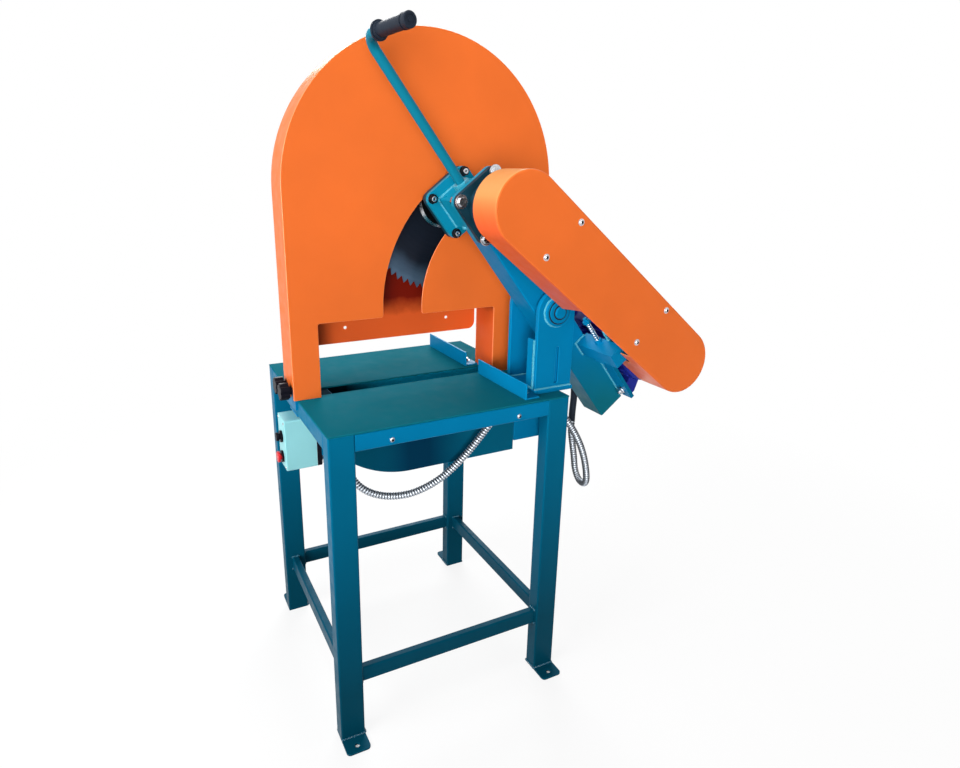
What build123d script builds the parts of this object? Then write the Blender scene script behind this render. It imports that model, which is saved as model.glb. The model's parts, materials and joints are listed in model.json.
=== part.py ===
from build123d import *
import os
from math import asin, atan2, cos, degrees, hypot, radians, sin, sqrt, tan

os.makedirs("parts", exist_ok=True)

# Axes: origin on the floor at the centre of the four anchor holes, +Z up.
# The operator stands on the -Y side, the pivot is on the +Y side, X = 0 is the saw plane.

# Stand
table_length = 614.0
table_width = 576.0
table_height = 800.0
table_plate = 4.0
saw_slot = 55.0
leg_across = 60.0
leg_deep = 40.0
tube_wall = 3.0
tube_corner = 4.0
rail_height = 40.0
rail_deep = 40.0
stretcher_height = 40.0
stretcher_deep = 20.0
stretcher_floor = 148.0
foot_plate = 5.0
foot_reach = 46.0
foot_corner = 10.0
anchor_hole = 12.0
anchor_reach = 27.0

# Fences
fence_face_y = 190.0
fence_leg = 40.0
fence_sheet = 4.0
fence_start = 36.0
fence_inset = 16.0

# Blade and its guard
blade_diameter = 450.0
blade_plate = 2.6
blade_teeth = 72
gullet_depth = 12.0
guard_radius = 351.0
guard_overhang = 9.0
guard_straight = 488.0
guard_front_x = 44.0
guard_rear_x = -52.0
guard_sheet = 2.5
window_leg = 67.0
window_span = 479.0
window_height = 183.0
window_corner = 6.0
rear_flap_height = 105.0
rear_flap_corner = 20.0
rear_flap_slit = 7.0
rear_hole = 8.0
arc_slot_inside = 50.0
arc_slot_outside = 53.0
arc_slot_over = 12.0
arc_slot_under = 6.0

# Guard bracket and knobs
bracket_plate = 5.0
bracket_drop = 26.0
bracket_rise = 42.0
bracket_side_gap = 4.0
knob_rise = 21.0
knob_spacing = 52.0
knob_diameter = 42.0
knob_lobes = 6
knob_hub = 20.0
knob_hub_length = 7.0
knob_head_length = 22.0
stud_diameter = 10.0
knob_notch = 26.0

# Sawdust chute
chute_sheet = 2.0
chute_front_y = -217.0
chute_rear_y = 307.0
chute_depth = 244.0
chute_radius = 280.0
chute_rail_gap = 4.0
chute_front_x = 44.0
chute_rear_x = -46.0
outlet_length = 110.0
outlet_width = 56.0

# Pivot
pivot_inset = 18.0
pivot_rise = 203.0
pivot_diameter = 30.0
base_plate = 10.0
base_margin = 6.0
base_margin_y = 5.0
cheek_width = 106.0
cheek_plate = 12.0
cheek_gap = 108.0
pivot_centre_x = 176.0
boss_diameter = 72.0
boss_height = 8.0
bush_diameter = 54.0
bush_proud = 4.0
shaft_proud = 5.0
cheek_slot_width = 10.0
cheek_slot_length = 95.0
cheek_slot_floor = 10.0
cheek_slot_offset = 8.0
cheek_slot_depth = 8.0
stiffener_deep = 30.0
stiffener_plate = 8.0
stiffener_height = 124.0
brace_plate = 6.0
brace_length = 79.0
brace_drop = 117.0

# Swing arm
arm_angle = 52.5
arm_length = 320.0
beam_size = 80.0
beam_wall = 5.0
beam_corner = 4.0
tail_length = 361.0
hub_diameter = 60.0
hub_side_gap = 1.0
block_size = 80.0
block_far_x = 98.0
end_plate = 12.0
flange_size = 130.0
flange_corner = 20.0
flange_thickness = 14.0
bolt_pitch = 102.0
bolt_diameter = 12.0
bolt_hole = 13.0
bolt_head = 9.0
bolt_across = 19.0
bearing_body = 104.0
bearing_nose = 92.0
bearing_body_length = 20.0
bearing_bore = 62.0
ring_proud = 6.0
block_bore = 66.0

# Handle
handle_diameter = 22.0
handle_wall = 2.5
handle_x = 150.0
handle_offset = 8.0
handle_reach = 732.0
handle_bend = 32.0
handle_yaw = 7.0
handle_end = 150.0
nut_across = 34.0
nut_height = 14.0
grip_start = 55.0
grip_length = 120.0
grip_diameter = 27.0
grip_collar = 39.0
grip_collar_length = 5.0
grip_step = 33.0
grip_ridge = 30.0
grip_ridge_length = 4.0
grip_end_length = 12.0
grip_dish = 19.0
grip_button = 8.0
grip_dish_depth = 1.5

# Spindle and belt drive
spindle_diameter = 40.0
blade_seat = 30.0
arbor_thread = 24.0
collar_diameter = 132.0
collar_thickness = 12.0
arbor_nut_across = 36.0
arbor_nut_height = 18.0
pulley_pitch_radius = 50.0
pulley_width = 40.0
pulley_x = 308.0
pulley_lip = 4.0
pulley_hub = 56.0
groove_spacing = 16.0
belt_top = 13.0
belt_bottom = 8.0
belt_over = 3.5
belt_under = 4.5
belt_gap = 0.4
belt_root_gap = 1.0
pulley_seat = 28.0

# Belt guard and what carries it
belt_guard_radius = 78.0
belt_guard_back_x = 304.0
belt_guard_front_x = 396.0
belt_guard_sheet = 2.0
belt_guard_corner = 4.0
cutout_start = 253.0
cutout_slant = 19.0
cutout_end = 447.0
cutout_step = 45.0
strap_width = 28.0
strap_plate = 5.0
strap_length = 132.0
post_diameter = 16.0
front_strap_setback = 102.0
rear_strap_u = 109.0
cross_tube_size = 40.0
cross_tube_wall = 3.0
cross_tube_u = 146.0
cross_tube_drop = 85.0
cross_tube_end_x = 350.0
strap_carrier_x = 296.0

# Motor
motor_u = 258.0
motor_shaft_height = 90.0
motor_plate = 10.0
motor_plate_start = 170.0
motor_plate_end = 352.0
motor_plate_far_x = 88.0
motor_plate_near_x = 260.0
motor_front_x = 292.0
bell_front = 22.0
bell_rear = 17.0
stator_length = 175.0
fan_cover_length = 58.0
fan_cover_sheet = 2.0
fin_ground = 6.0
fin_depth = 12.0
fin_count = 28
fin_width = 4.0
bell_step = 4.0
foot_span = 140.0
foot_pitch = 125.0
foot_setback = 56.0
foot_pad = 40.0
foot_pad_x = 30.0
foot_height = 12.0
foot_bolt = 10.0
slot_travel = 34.0
motor_shaft = 24.0
motor_shaft_length = 56.0
terminal_u = 86.0
terminal_n = 64.0
terminal_x = 100.0
terminal_height = 46.0
terminal_far_x = 48.0
terminal_overlap = 6.0
ear_plate = 8.0
ear_width = 34.0
ear_depth = 30.0
screw_diameter = 10.0
screw_x = 276.0
screw_offset = 8.0
screw_start = 46.0
screw_nut_across = 17.0
screw_nut_height = 8.0

# Controls
control_near_x = 26.0
control_width = 72.0
control_top_gap = 11.0
control_height = 133.0
control_front_y = -340.0
control_depth = 78.0
control_wall = 2.5
control_base_depth = 12.0
control_corner = 4.0
control_bracket_plate = 4.0
button_rise = 82.0
button_drop = 54.0
button_hole = 22.0
collar_outer = 30.0
collar_length = 9.0
collar_proud = 5.0
button_stem = 16.0
button_cap_start = 22.0
button_cap_stop = 28.0
button_cap = 6.0
button_gap = 0.3
button_travel = 4.0
contact_block = 26.0
contact_depth = 34.0

# Conduit
conduit_diameter = 20.0
gland_across = 25.0
gland_length = 16.0
box_gland_length = 12.0
box_gland_inset = 18.0
box_gland_rise = 13.0

# Fits
running_gap = 0.05
seat_gap = 0.05
slip_gap = 0.5

# Places worked out from the sizes above
half_length = table_length / 2
half_width = table_width / 2
frame_top = table_height - table_plate
rail_floor = frame_top - rail_height
leg_y = half_length - leg_across / 2
leg_x = half_width - leg_deep / 2
fence_length = half_width - fence_inset - fence_start
guard_left_y = -half_length - guard_overhang
guard_y = guard_left_y + guard_radius
guard_spring_z = table_height + guard_straight
window_left_y = guard_left_y + window_leg
window_right_y = window_left_y + window_span
window_top_z = table_height + window_height
guard_mid_x = (guard_front_x + guard_rear_x) / 2
arc_slot_inner = arm_length - arc_slot_inside
arc_slot_outer = arm_length + arc_slot_outside
pivot_y = half_length - pivot_inset
pivot_z = table_height + pivot_rise
near_cheek_x = pivot_centre_x + cheek_gap / 2
far_cheek_x = pivot_centre_x - cheek_gap / 2 - cheek_plate
beam_far_x = pivot_centre_x - beam_size / 2
beam_near_x = pivot_centre_x + beam_size / 2
motor_n = beam_size / 2 + motor_plate + motor_shaft_height
front_strap_u = front_strap_setback - arm_length
belt_run = hypot(motor_u + arm_length, motor_n)
belt_tilt = degrees(atan2(motor_n, motor_u + arm_length))
cross_tube_n = (cross_tube_u + arm_length) * tan(radians(belt_tilt)) - cross_tube_drop
screw_n = cross_tube_n + screw_offset
fin_radius = motor_shaft_height - fin_ground
stator_radius = fin_radius - fin_depth
bell_radius = fin_radius - bell_step
blade_radius = blade_diameter / 2
stator_front_x = motor_front_x - bell_front
stator_rear_x = stator_front_x - stator_length
bell_rear_x = stator_rear_x - bell_rear
foot_front_x = motor_front_x - foot_setback
foot_rear_x = foot_front_x - foot_pitch
near_plate_x = beam_near_x
far_housing_x = block_far_x - end_plate
near_housing_x = near_plate_x + end_plate

# Arm plane: local x runs from the spindle to the motor, local y is square to the arm, the normal is +X
ARM = Plane(
    origin=(0, pivot_y, pivot_z),
    x_dir=(0, cos(radians(arm_angle)), -sin(radians(arm_angle))),
    z_dir=(1, 0, 0),
)
SPINDLE = Plane(ARM.from_local_coords((-arm_length, 0, 0)), x_dir=ARM.x_dir, z_dir=(1, 0, 0))
MOTOR = Plane(ARM.from_local_coords((motor_u, motor_n, 0)), x_dir=ARM.x_dir, z_dir=(1, 0, 0))
BELT = Plane(SPINDLE.origin, x_dir=MOTOR.origin - SPINDLE.origin, z_dir=(1, 0, 0))


def save(piece, label):
    """Label a finished piece and write it under its own name."""
    piece.part.label = label
    export_step(piece.part, f"parts/{label}.step")


def tube_along(length, across, high, wall, centre, along):
    """Rectangular tube with open ends, its long side along X, Y or Z."""
    outer = {"X": (length, across, high), "Y": (across, length, high), "Z": (across, high, length)}[along]
    inner = {
        "X": (length, across - 2 * wall, high - 2 * wall),
        "Y": (across - 2 * wall, length, high - 2 * wall),
        "Z": (across - 2 * wall, high - 2 * wall, length),
    }[along]
    axis = {"X": Axis.X, "Y": Axis.Y, "Z": Axis.Z}[along]
    with BuildPart() as tube:
        with Locations(centre):
            Box(*outer)
            fillet(tube.edges().filter_by(axis), tube_corner)
            Box(*inner, mode=Mode.SUBTRACT)
    return tube


# Legs
leg_length = frame_top - foot_plate
for end, side_y in (("front", -1), ("rear", 1)):
    for side, side_x in (("right", 1), ("left", -1)):
        leg_centre = (side_x * leg_x, side_y * leg_y, foot_plate + leg_length / 2)
        leg = tube_along(leg_length, leg_deep, leg_across, tube_wall, leg_centre, "Z")
        save(leg, f"leg_{end}_{side}")

# Foot plates, one under each leg, reaching outwards with an anchor hole
foot_length = leg_deep + foot_reach
with BuildPart() as foot_plates:
    for side_x in (1, -1):
        for side_y in (1, -1):
            foot_x = side_x * (half_width + foot_reach - foot_length / 2)
            with BuildSketch() as foot_outline:
                with Locations((foot_x, side_y * leg_y)):
                    Rectangle(foot_length, leg_across)
                outer_corners = foot_outline.vertices().sort_by(Axis.X)
                fillet(outer_corners[-2:] if side_x > 0 else outer_corners[:2], foot_corner)
                with Locations((side_x * (half_width + anchor_reach), side_y * leg_y)):
                    Circle(anchor_hole / 2, mode=Mode.SUBTRACT)
            extrude(amount=foot_plate)
save(foot_plates, "foot_plates")

# Rails under the table
rail_z = frame_top - rail_height / 2
side_rail_length = table_length - 2 * leg_across
end_rail_length = table_width - 2 * leg_deep
with BuildPart() as side_rails:
    for side_x in (1, -1):
        rail_centre = (side_x * (half_width - rail_deep / 2), 0, rail_z)
        add(tube_along(side_rail_length, rail_deep, rail_height, tube_wall, rail_centre, "Y").part)
save(side_rails, "side_rails")
with BuildPart() as end_rails:
    for side_y in (1, -1):
        rail_centre = (0, side_y * (half_length - rail_deep / 2), rail_z)
        add(tube_along(end_rail_length, rail_deep, rail_height, tube_wall, rail_centre, "X").part)
save(end_rails, "end_rails")

# Stretchers near the floor, set in the middle of the legs
stretcher_z = stretcher_floor + stretcher_height / 2
with BuildPart() as side_stretchers:
    for side_x in (1, -1):
        bar = tube_along(side_rail_length, stretcher_deep, stretcher_height, tube_wall,
                         (side_x * leg_x, 0, stretcher_z), "Y")
        add(bar.part)
save(side_stretchers, "side_stretchers")
with BuildPart() as end_stretchers:
    for side_y in (1, -1):
        bar = tube_along(end_rail_length, stretcher_deep, stretcher_height, tube_wall,
                         (0, side_y * leg_y, stretcher_z), "X")
        add(bar.part)
save(end_stretchers, "end_stretchers")

# Table plates either side of the saw slot
plate_width = half_width - saw_slot / 2
for side, side_x in (("right", 1), ("left", -1)):
    with BuildPart() as plate:
        with Locations((side_x * (saw_slot / 2 + plate_width / 2), 0, frame_top)):
            Box(plate_width, table_length, table_plate, align=(Align.CENTER, Align.CENTER, Align.MIN))
    save(plate, f"table_plate_{side}")

# Fence angles, upright face towards the operator
fence_starts = (("right", half_width - fence_inset - fence_length), ("left", fence_inset - half_width))
for side, start_x in fence_starts:
    with BuildPart() as fence:
        with BuildSketch(Plane.YZ.offset(start_x)):
            with Locations((fence_face_y, table_height)):
                Rectangle(fence_sheet, fence_leg, align=Align.MIN)
                Rectangle(fence_leg, fence_sheet, align=Align.MIN)
        extrude(amount=fence_length)
        inside = fence.edges().filter_by(Axis.X).sort_by_distance((0, fence_face_y + fence_sheet,
                                                                  table_height + fence_sheet))[0]
        fillet(inside, fence_sheet / 2)
    save(fence, f"fence_{side}")


def guard_outline(inset, floor):
    """Tombstone outline of the blade guard, drawn in the Y-Z plane."""
    radius = guard_radius - inset
    with Locations((guard_y, guard_spring_z)):
        Circle(radius)
        Rectangle(2 * radius, guard_spring_z - floor, align=(Align.CENTER, Align.MAX))


def window_cut(height):
    """Opening for the board between the two legs of the guard."""
    with Locations((window_left_y, table_height)):
        Rectangle(window_span, height, align=Align.MIN, mode=Mode.SUBTRACT)


# Front panel with the board window and the curved slot that the spindle runs in
slot_end = arm_angle + arc_slot_over
slot_sweep = slot_end + arc_slot_under
with BuildPart() as guard_front_panel:
    with BuildSketch(Plane.YZ.offset(guard_front_x - guard_sheet)) as front_face:
        guard_outline(0, table_height)
        window_cut(window_height)
        with BuildLine():
            outer_arc = CenterArc((pivot_y, pivot_z), arc_slot_outer, 180 - slot_end, slot_sweep)
            inner_arc = CenterArc((pivot_y, pivot_z), arc_slot_inner, 180 - slot_end, slot_sweep)
            Line(outer_arc @ 0, inner_arc @ 0)
            Line(outer_arc @ 1, inner_arc @ 1)
        make_face(mode=Mode.SUBTRACT)
        corners = front_face.vertices()
        fillet(corners.filter_by_position(Axis.Y, window_top_z - 0.01, window_top_z + 0.01), window_corner)
        slot_top = front_face.vertices().filter_by(
            lambda corner: abs(hypot(corner.X - pivot_y, corner.Y - pivot_z) - arc_slot_outer) < 0.01
            or abs(hypot(corner.X - pivot_y, corner.Y - pivot_z) - arc_slot_inner) < 0.01)
        fillet(slot_top.group_by(Axis.Y)[-1] + slot_top.group_by(Axis.Y)[-2], arc_slot_over)
    extrude(amount=guard_sheet)
save(guard_front_panel, "guard_front_panel")

# Rear panel, which hangs lower behind the window
with BuildPart() as guard_rear_panel:
    with BuildSketch(Plane.YZ.offset(guard_rear_x)) as rear_face:
        guard_outline(0, table_height)
        window_cut(rear_flap_height)
        with Locations((window_right_y, table_height)):
            Rectangle(rear_flap_slit, window_height, align=(Align.MAX, Align.MIN), mode=Mode.SUBTRACT)
        flap_corner = rear_face.vertices().sort_by_distance(
            (window_right_y - rear_flap_slit, table_height + rear_flap_height))[0]
        fillet(flap_corner, rear_flap_corner)
        rear_opening = window_height - rear_flap_height
        with Locations((window_left_y + window_span / 2, window_top_z - rear_opening / 2)):
            with GridLocations(window_span * 0.6, 0, 2, 1):
                Circle(rear_hole / 2, mode=Mode.SUBTRACT)
    extrude(amount=guard_sheet)
save(guard_rear_panel, "guard_rear_panel")

# Rim band between the panels, notched over the two studs
rim_far_x = guard_rear_x + guard_sheet
rim_depth = guard_front_x - guard_rear_x - 2 * guard_sheet
stud_z = table_height + knob_rise
knob_x = {"right": guard_mid_x + knob_spacing / 2, "left": guard_mid_x - knob_spacing / 2}
with BuildPart() as guard_rim:
    with BuildSketch(Plane.YZ.offset(rim_far_x)):
        guard_outline(0, table_height)
        radius = guard_radius - guard_sheet
        with Locations((guard_y, guard_spring_z)):
            Circle(radius, mode=Mode.SUBTRACT)
            Rectangle(2 * radius, guard_straight, align=(Align.CENTER, Align.MAX), mode=Mode.SUBTRACT)
    extrude(amount=rim_depth)
    for x in knob_x.values():
        with BuildSketch(Plane.XZ.offset(-guard_left_y)):
            with Locations((x, stud_z)):
                Circle(knob_notch / 2)
                Rectangle(knob_notch, knob_rise, align=(Align.CENTER, Align.MAX))
        extrude(amount=-2 * guard_sheet, mode=Mode.SUBTRACT)
save(guard_rim, "guard_rim")

# Liner that closes the rear leg towards the window
with BuildPart() as guard_leg_liner:
    with Locations((rim_far_x, window_right_y, table_height)):
        Box(rim_depth, guard_sheet, window_height, align=Align.MIN)
save(guard_leg_liner, "guard_leg_liner")

# Bracket on the table's front edge with two studs for the knobs
stud_reach = guard_overhang + knob_hub_length + knob_head_length - slip_gap
bracket_width = rim_depth - 2 * bracket_side_gap
with BuildPart() as guard_bracket:
    with Locations((guard_mid_x, -half_length, table_height)):
        Box(bracket_width, bracket_plate, bracket_drop, align=(Align.CENTER, Align.MAX, Align.MAX))
        Box(bracket_width, bracket_plate, bracket_rise, align=(Align.CENTER, Align.MAX, Align.MIN))
    upper = guard_bracket.edges().filter_by(Axis.Y).group_by(Axis.Z)[-1]
    fillet(upper, bracket_plate)
    with BuildSketch(Plane.XZ.offset(half_length)):
        for x in knob_x.values():
            with Locations((x, stud_z)):
                Circle(stud_diameter / 2)
    extrude(amount=stud_reach)
save(guard_bracket, "guard_bracket")

# Lobed knobs that clamp the guard on the studs
knob_seat = half_length + guard_overhang + slip_gap
for side, x in knob_x.items():
    with BuildPart() as knob:
        with BuildSketch(Plane.XZ.offset(knob_seat)):
            with Locations((x, stud_z)):
                Circle(knob_hub / 2)
        extrude(amount=knob_hub_length)
        with BuildSketch(Plane.XZ.offset(knob_seat + knob_hub_length)) as lobes:
            with Locations((x, stud_z)):
                Circle(knob_diameter / 2)
                with PolarLocations(knob_diameter * 0.6, knob_lobes):
                    Circle(knob_diameter * 0.17, mode=Mode.SUBTRACT)
            fillet(lobes.vertices(), knob_diameter * 0.05)
        extrude(amount=knob_head_length)
        outer_face = knob.faces().sort_by(Axis.Y)[0]
        chamfer(outer_face.edges(), 1.5)
        with BuildSketch(Plane.XZ.offset(knob_seat)):
            with Locations((x, stud_z)):
                Circle(stud_diameter / 2 + running_gap)
        extrude(amount=stud_reach - guard_overhang, mode=Mode.SUBTRACT)
    save(knob, f"guard_knob_{side}")


def chute_profile(inset, top):
    """Side profile of the sawdust chute, rounded at the front and stepped under the rear rail."""
    front = chute_front_y + inset
    rear = chute_rear_y - inset
    floor = table_height - chute_depth + inset
    radius = chute_radius - inset
    bend_y = chute_front_y + chute_radius * 0.73
    step_z = rail_floor - chute_rail_gap - inset
    step_y = half_length - rail_deep - chute_rail_gap - inset
    bend_z = floor + radius
    bend_start = bend_z - sqrt(radius ** 2 - (bend_y - front) ** 2)
    with BuildLine() as profile:
        lines = Polyline((bend_y, floor), (rear, floor), (rear, step_z), (step_y, step_z), (step_y, top),
                         (front, top), (front, bend_start))
        RadiusArc(lines @ 1, lines @ 0, -radius)
    return profile.edges()


# Sawdust chute under the slot, open at the top and over its outlet, with a flange towards the front rail
with BuildPart() as dust_chute:
    with BuildSketch(Plane.YZ.offset(chute_rear_x)):
        make_face(chute_profile(0, frame_top))
    extrude(amount=chute_front_x - chute_rear_x)
    with BuildSketch(Plane.YZ.offset(chute_rear_x + chute_sheet)):
        make_face(chute_profile(chute_sheet, frame_top))
    extrude(amount=chute_front_x - chute_rear_x - 2 * chute_sheet, mode=Mode.SUBTRACT)
    chute_mid_x = (chute_front_x + chute_rear_x) / 2
    with Locations((chute_mid_x, chute_rear_y - outlet_length, table_height - chute_depth)):
        Box(outlet_width, outlet_length, 2 * chute_sheet, mode=Mode.SUBTRACT)
    flange_length = half_length - rail_deep - chute_rail_gap + chute_front_y
    with Locations((chute_mid_x, chute_front_y + chute_sheet, frame_top)):
        Box(chute_front_x - chute_rear_x, flange_length + chute_sheet, chute_sheet,
            align=(Align.CENTER, Align.MAX, Align.MAX))
save(dust_chute, "dust_chute")

# Pivot base plate on the table and the brace under it
base_far_x = far_cheek_x - base_margin
base_near_x = near_cheek_x + cheek_plate + base_margin
base_length = cheek_width + 2 * base_margin_y
with BuildPart() as pedestal_base:
    with Locations(((base_far_x + base_near_x) / 2, pivot_y, table_height)):
        Box(base_near_x - base_far_x, base_length, base_plate, align=(Align.CENTER, Align.CENTER, Align.MIN))
    fillet(pedestal_base.edges().filter_by(Axis.Z), base_margin_y)
    with Locations((near_cheek_x, half_length - rail_deep, frame_top)):
        Box(brace_plate, brace_length, brace_drop, align=(Align.MAX, Align.MAX, Align.MAX))
save(pedestal_base, "pedestal_base")

# Cheeks with a welded boss each
cheek_floor = table_height + base_plate
for side, cheek_x, boss_x in (("right", near_cheek_x, near_cheek_x + cheek_plate),
                              ("left", far_cheek_x, far_cheek_x - boss_height)):
    with BuildPart() as cheek:
        with BuildSketch(Plane.YZ.offset(cheek_x)):
            with Locations((pivot_y, pivot_z)):
                Circle(cheek_width / 2)
                Rectangle(cheek_width, pivot_z - cheek_floor, align=(Align.CENTER, Align.MAX))
        extrude(amount=cheek_plate)
        with BuildSketch(Plane.YZ.offset(boss_x)):
            with Locations((pivot_y, pivot_z)):
                Circle(boss_diameter / 2)
        extrude(amount=boss_height)
        if side == "right":
            with Locations((cheek_x, pivot_y - cheek_width / 2, cheek_floor)):
                Box(stiffener_deep, stiffener_plate, stiffener_height,
                    align=(Align.MAX, Align.MIN, Align.MIN))
            with BuildSketch(Plane.YZ.offset(cheek_x + cheek_plate)):
                with Locations((pivot_y + cheek_slot_offset, cheek_floor + cheek_slot_floor)):
                    SlotOverall(cheek_slot_length, cheek_slot_width, rotation=90,
                                align=(Align.MIN, Align.CENTER))
            extrude(amount=-cheek_slot_depth, mode=Mode.SUBTRACT)
        bore_start = min(cheek_x, boss_x)
        with BuildSketch(Plane.YZ.offset(bore_start)):
            with Locations((pivot_y, pivot_z)):
                Circle(bush_diameter / 2)
        extrude(amount=cheek_plate + boss_height, mode=Mode.SUBTRACT)
    save(cheek, f"pivot_cheek_{side}")

# Bushes in the cheeks
bush_length = cheek_plate + boss_height + bush_proud
near_shaft_end = near_cheek_x + bush_length + shaft_proud
far_shaft_end = far_cheek_x + cheek_plate - bush_length - shaft_proud
with BuildPart() as pivot_bushes:
    for start in (near_cheek_x, far_cheek_x + cheek_plate - bush_length):
        with BuildSketch(Plane.YZ.offset(start)):
            with Locations((pivot_y, pivot_z)):
                Circle(bush_diameter / 2 - seat_gap)
                Circle(pivot_diameter / 2 + running_gap, mode=Mode.SUBTRACT)
        extrude(amount=bush_length)
save(pivot_bushes, "pivot_bushes")

# Pivot shaft, turning in the bushes with the arm
with BuildPart() as pivot_shaft:
    with BuildSketch(Plane.YZ.offset(far_shaft_end)):
        with Locations((pivot_y, pivot_z)):
            Circle(pivot_diameter / 2)
    extrude(amount=near_shaft_end - far_shaft_end)
    chamfer(pivot_shaft.edges().filter_by(GeomType.CIRCLE), 2)
save(pivot_shaft, "pivot_shaft")

# Box beam of the arm with its hub, closed at the motor end
block_u = block_size / 2 - arm_length
beam_length = tail_length - block_u
with BuildPart() as arm_beam:
    with BuildSketch(ARM.offset(beam_far_x)):
        with Locations((block_u, 0)):
            Rectangle(beam_length, beam_size, align=(Align.MIN, Align.CENTER))
    extrude(amount=beam_size)
    fillet(arm_beam.edges().filter_by(lambda edge: abs(edge.length - beam_length) < 0.01), beam_corner)
    with BuildSketch(ARM.offset(beam_far_x + beam_wall)):
        with Locations((block_u, 0)):
            Rectangle(beam_length - beam_wall, beam_size - 2 * beam_wall, align=(Align.MIN, Align.CENTER))
    extrude(amount=beam_size - 2 * beam_wall, mode=Mode.SUBTRACT)
    hub_length = cheek_gap - 2 * hub_side_gap
    with BuildSketch(ARM.offset(pivot_centre_x - hub_length / 2)):
        Circle(hub_diameter / 2)
    extrude(amount=hub_length)
    with BuildSketch(ARM.offset(pivot_centre_x - hub_length / 2)):
        Circle(pivot_diameter / 2 + seat_gap)
    extrude(amount=hub_length, mode=Mode.SUBTRACT)
save(arm_beam, "arm_beam")

# Spindle block: square tube between two end plates
with BuildPart() as spindle_block:
    with BuildSketch(SPINDLE.offset(block_far_x)):
        Rectangle(block_size, block_size)
    extrude(amount=near_plate_x - block_far_x)
    for plate_x in (block_far_x - end_plate, near_plate_x):
        with BuildSketch(SPINDLE.offset(plate_x)):
            RectangleRounded(flange_size, flange_size, flange_corner)
            with GridLocations(bolt_pitch, bolt_pitch, 2, 2):
                Circle(bolt_hole / 2, mode=Mode.SUBTRACT)
        extrude(amount=end_plate)
    with BuildSketch(SPINDLE.offset(block_far_x - end_plate)):
        Circle(block_bore / 2)
    extrude(amount=near_plate_x - block_far_x + 2 * end_plate, mode=Mode.SUBTRACT)
save(spindle_block, "spindle_block")

# Flange bearing housings on the outer faces of the end plates
for side, seat_x, way in (("right", near_housing_x, 1), ("left", far_housing_x, -1)):
    with BuildPart() as housing:
        with BuildSketch(SPINDLE.offset(seat_x)):
            RectangleRounded(flange_size, flange_size, flange_corner)
            with GridLocations(bolt_pitch, bolt_pitch, 2, 2):
                Circle(bolt_hole / 2, mode=Mode.SUBTRACT)
        extrude(amount=way * flange_thickness)
        with BuildSketch(SPINDLE.offset(seat_x + way * flange_thickness)):
            Circle(bearing_body / 2)
        with BuildSketch(SPINDLE.offset(seat_x + way * (flange_thickness + bearing_body_length))):
            Circle(bearing_nose / 2)
        loft()
        with BuildSketch(SPINDLE.offset(seat_x)):
            Circle(bearing_bore / 2)
        extrude(amount=way * (flange_thickness + bearing_body_length), mode=Mode.SUBTRACT)
    save(housing, f"bearing_housing_{side}")

# Bolts of the bearing housings and the nut of the handle
with BuildPart() as arm_fasteners:
    for seat_x, way in ((near_housing_x, 1), (far_housing_x, -1)):
        outer_x = seat_x + way * flange_thickness
        inner_x = seat_x - way * end_plate
        with GridLocations(bolt_pitch, bolt_pitch, 2, 2) as corners:
            places = corners.local_locations
        for place in places:
            at = (place.position.X, place.position.Y)
            with BuildSketch(SPINDLE.offset(outer_x)):
                with Locations(at):
                    RegularPolygon(bolt_across / 2, 6, major_radius=False)
            extrude(amount=way * bolt_head)
            with BuildSketch(SPINDLE.offset(inner_x)):
                with Locations(at):
                    RegularPolygon(bolt_across / 2, 6, major_radius=False)
            extrude(amount=-way * bolt_head)
            with BuildSketch(SPINDLE.offset(inner_x)):
                with Locations(at):
                    Circle(bolt_diameter / 2)
            extrude(amount=outer_x - inner_x)
    handle_seat = arm_length + block_size / 2
    nut_plane = Plane(ARM.from_local_coords((-handle_seat, handle_offset, handle_x)),
                      x_dir=(1, 0, 0), z_dir=-ARM.x_dir)
    with BuildSketch(nut_plane):
        RegularPolygon(nut_across / 2, 6, major_radius=False)
        Circle(handle_diameter / 2 + seat_gap, mode=Mode.SUBTRACT)
    extrude(amount=nut_height)
save(arm_fasteners, "arm_fasteners")

# Handle bar: straight along the arm, then bent towards +X for the grip
handle_foot = ARM.from_local_coords((-handle_seat, handle_offset, handle_x))
handle_corner = ARM.from_local_coords((-handle_reach, handle_offset, handle_x))
grip_way = Vector(cos(radians(handle_yaw)), sin(radians(handle_yaw)), 0)
with BuildPart() as handle_bar:
    with BuildLine() as handle_path:
        FilletPolyline(handle_foot, handle_corner, handle_corner + grip_way * handle_end, radius=handle_bend)
    with BuildSketch(nut_plane):
        Circle(handle_diameter / 2)
        Circle(handle_diameter / 2 - handle_wall, mode=Mode.SUBTRACT)
    sweep(path=handle_path.wires()[0])
save(handle_bar, "handle_bar")

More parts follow.
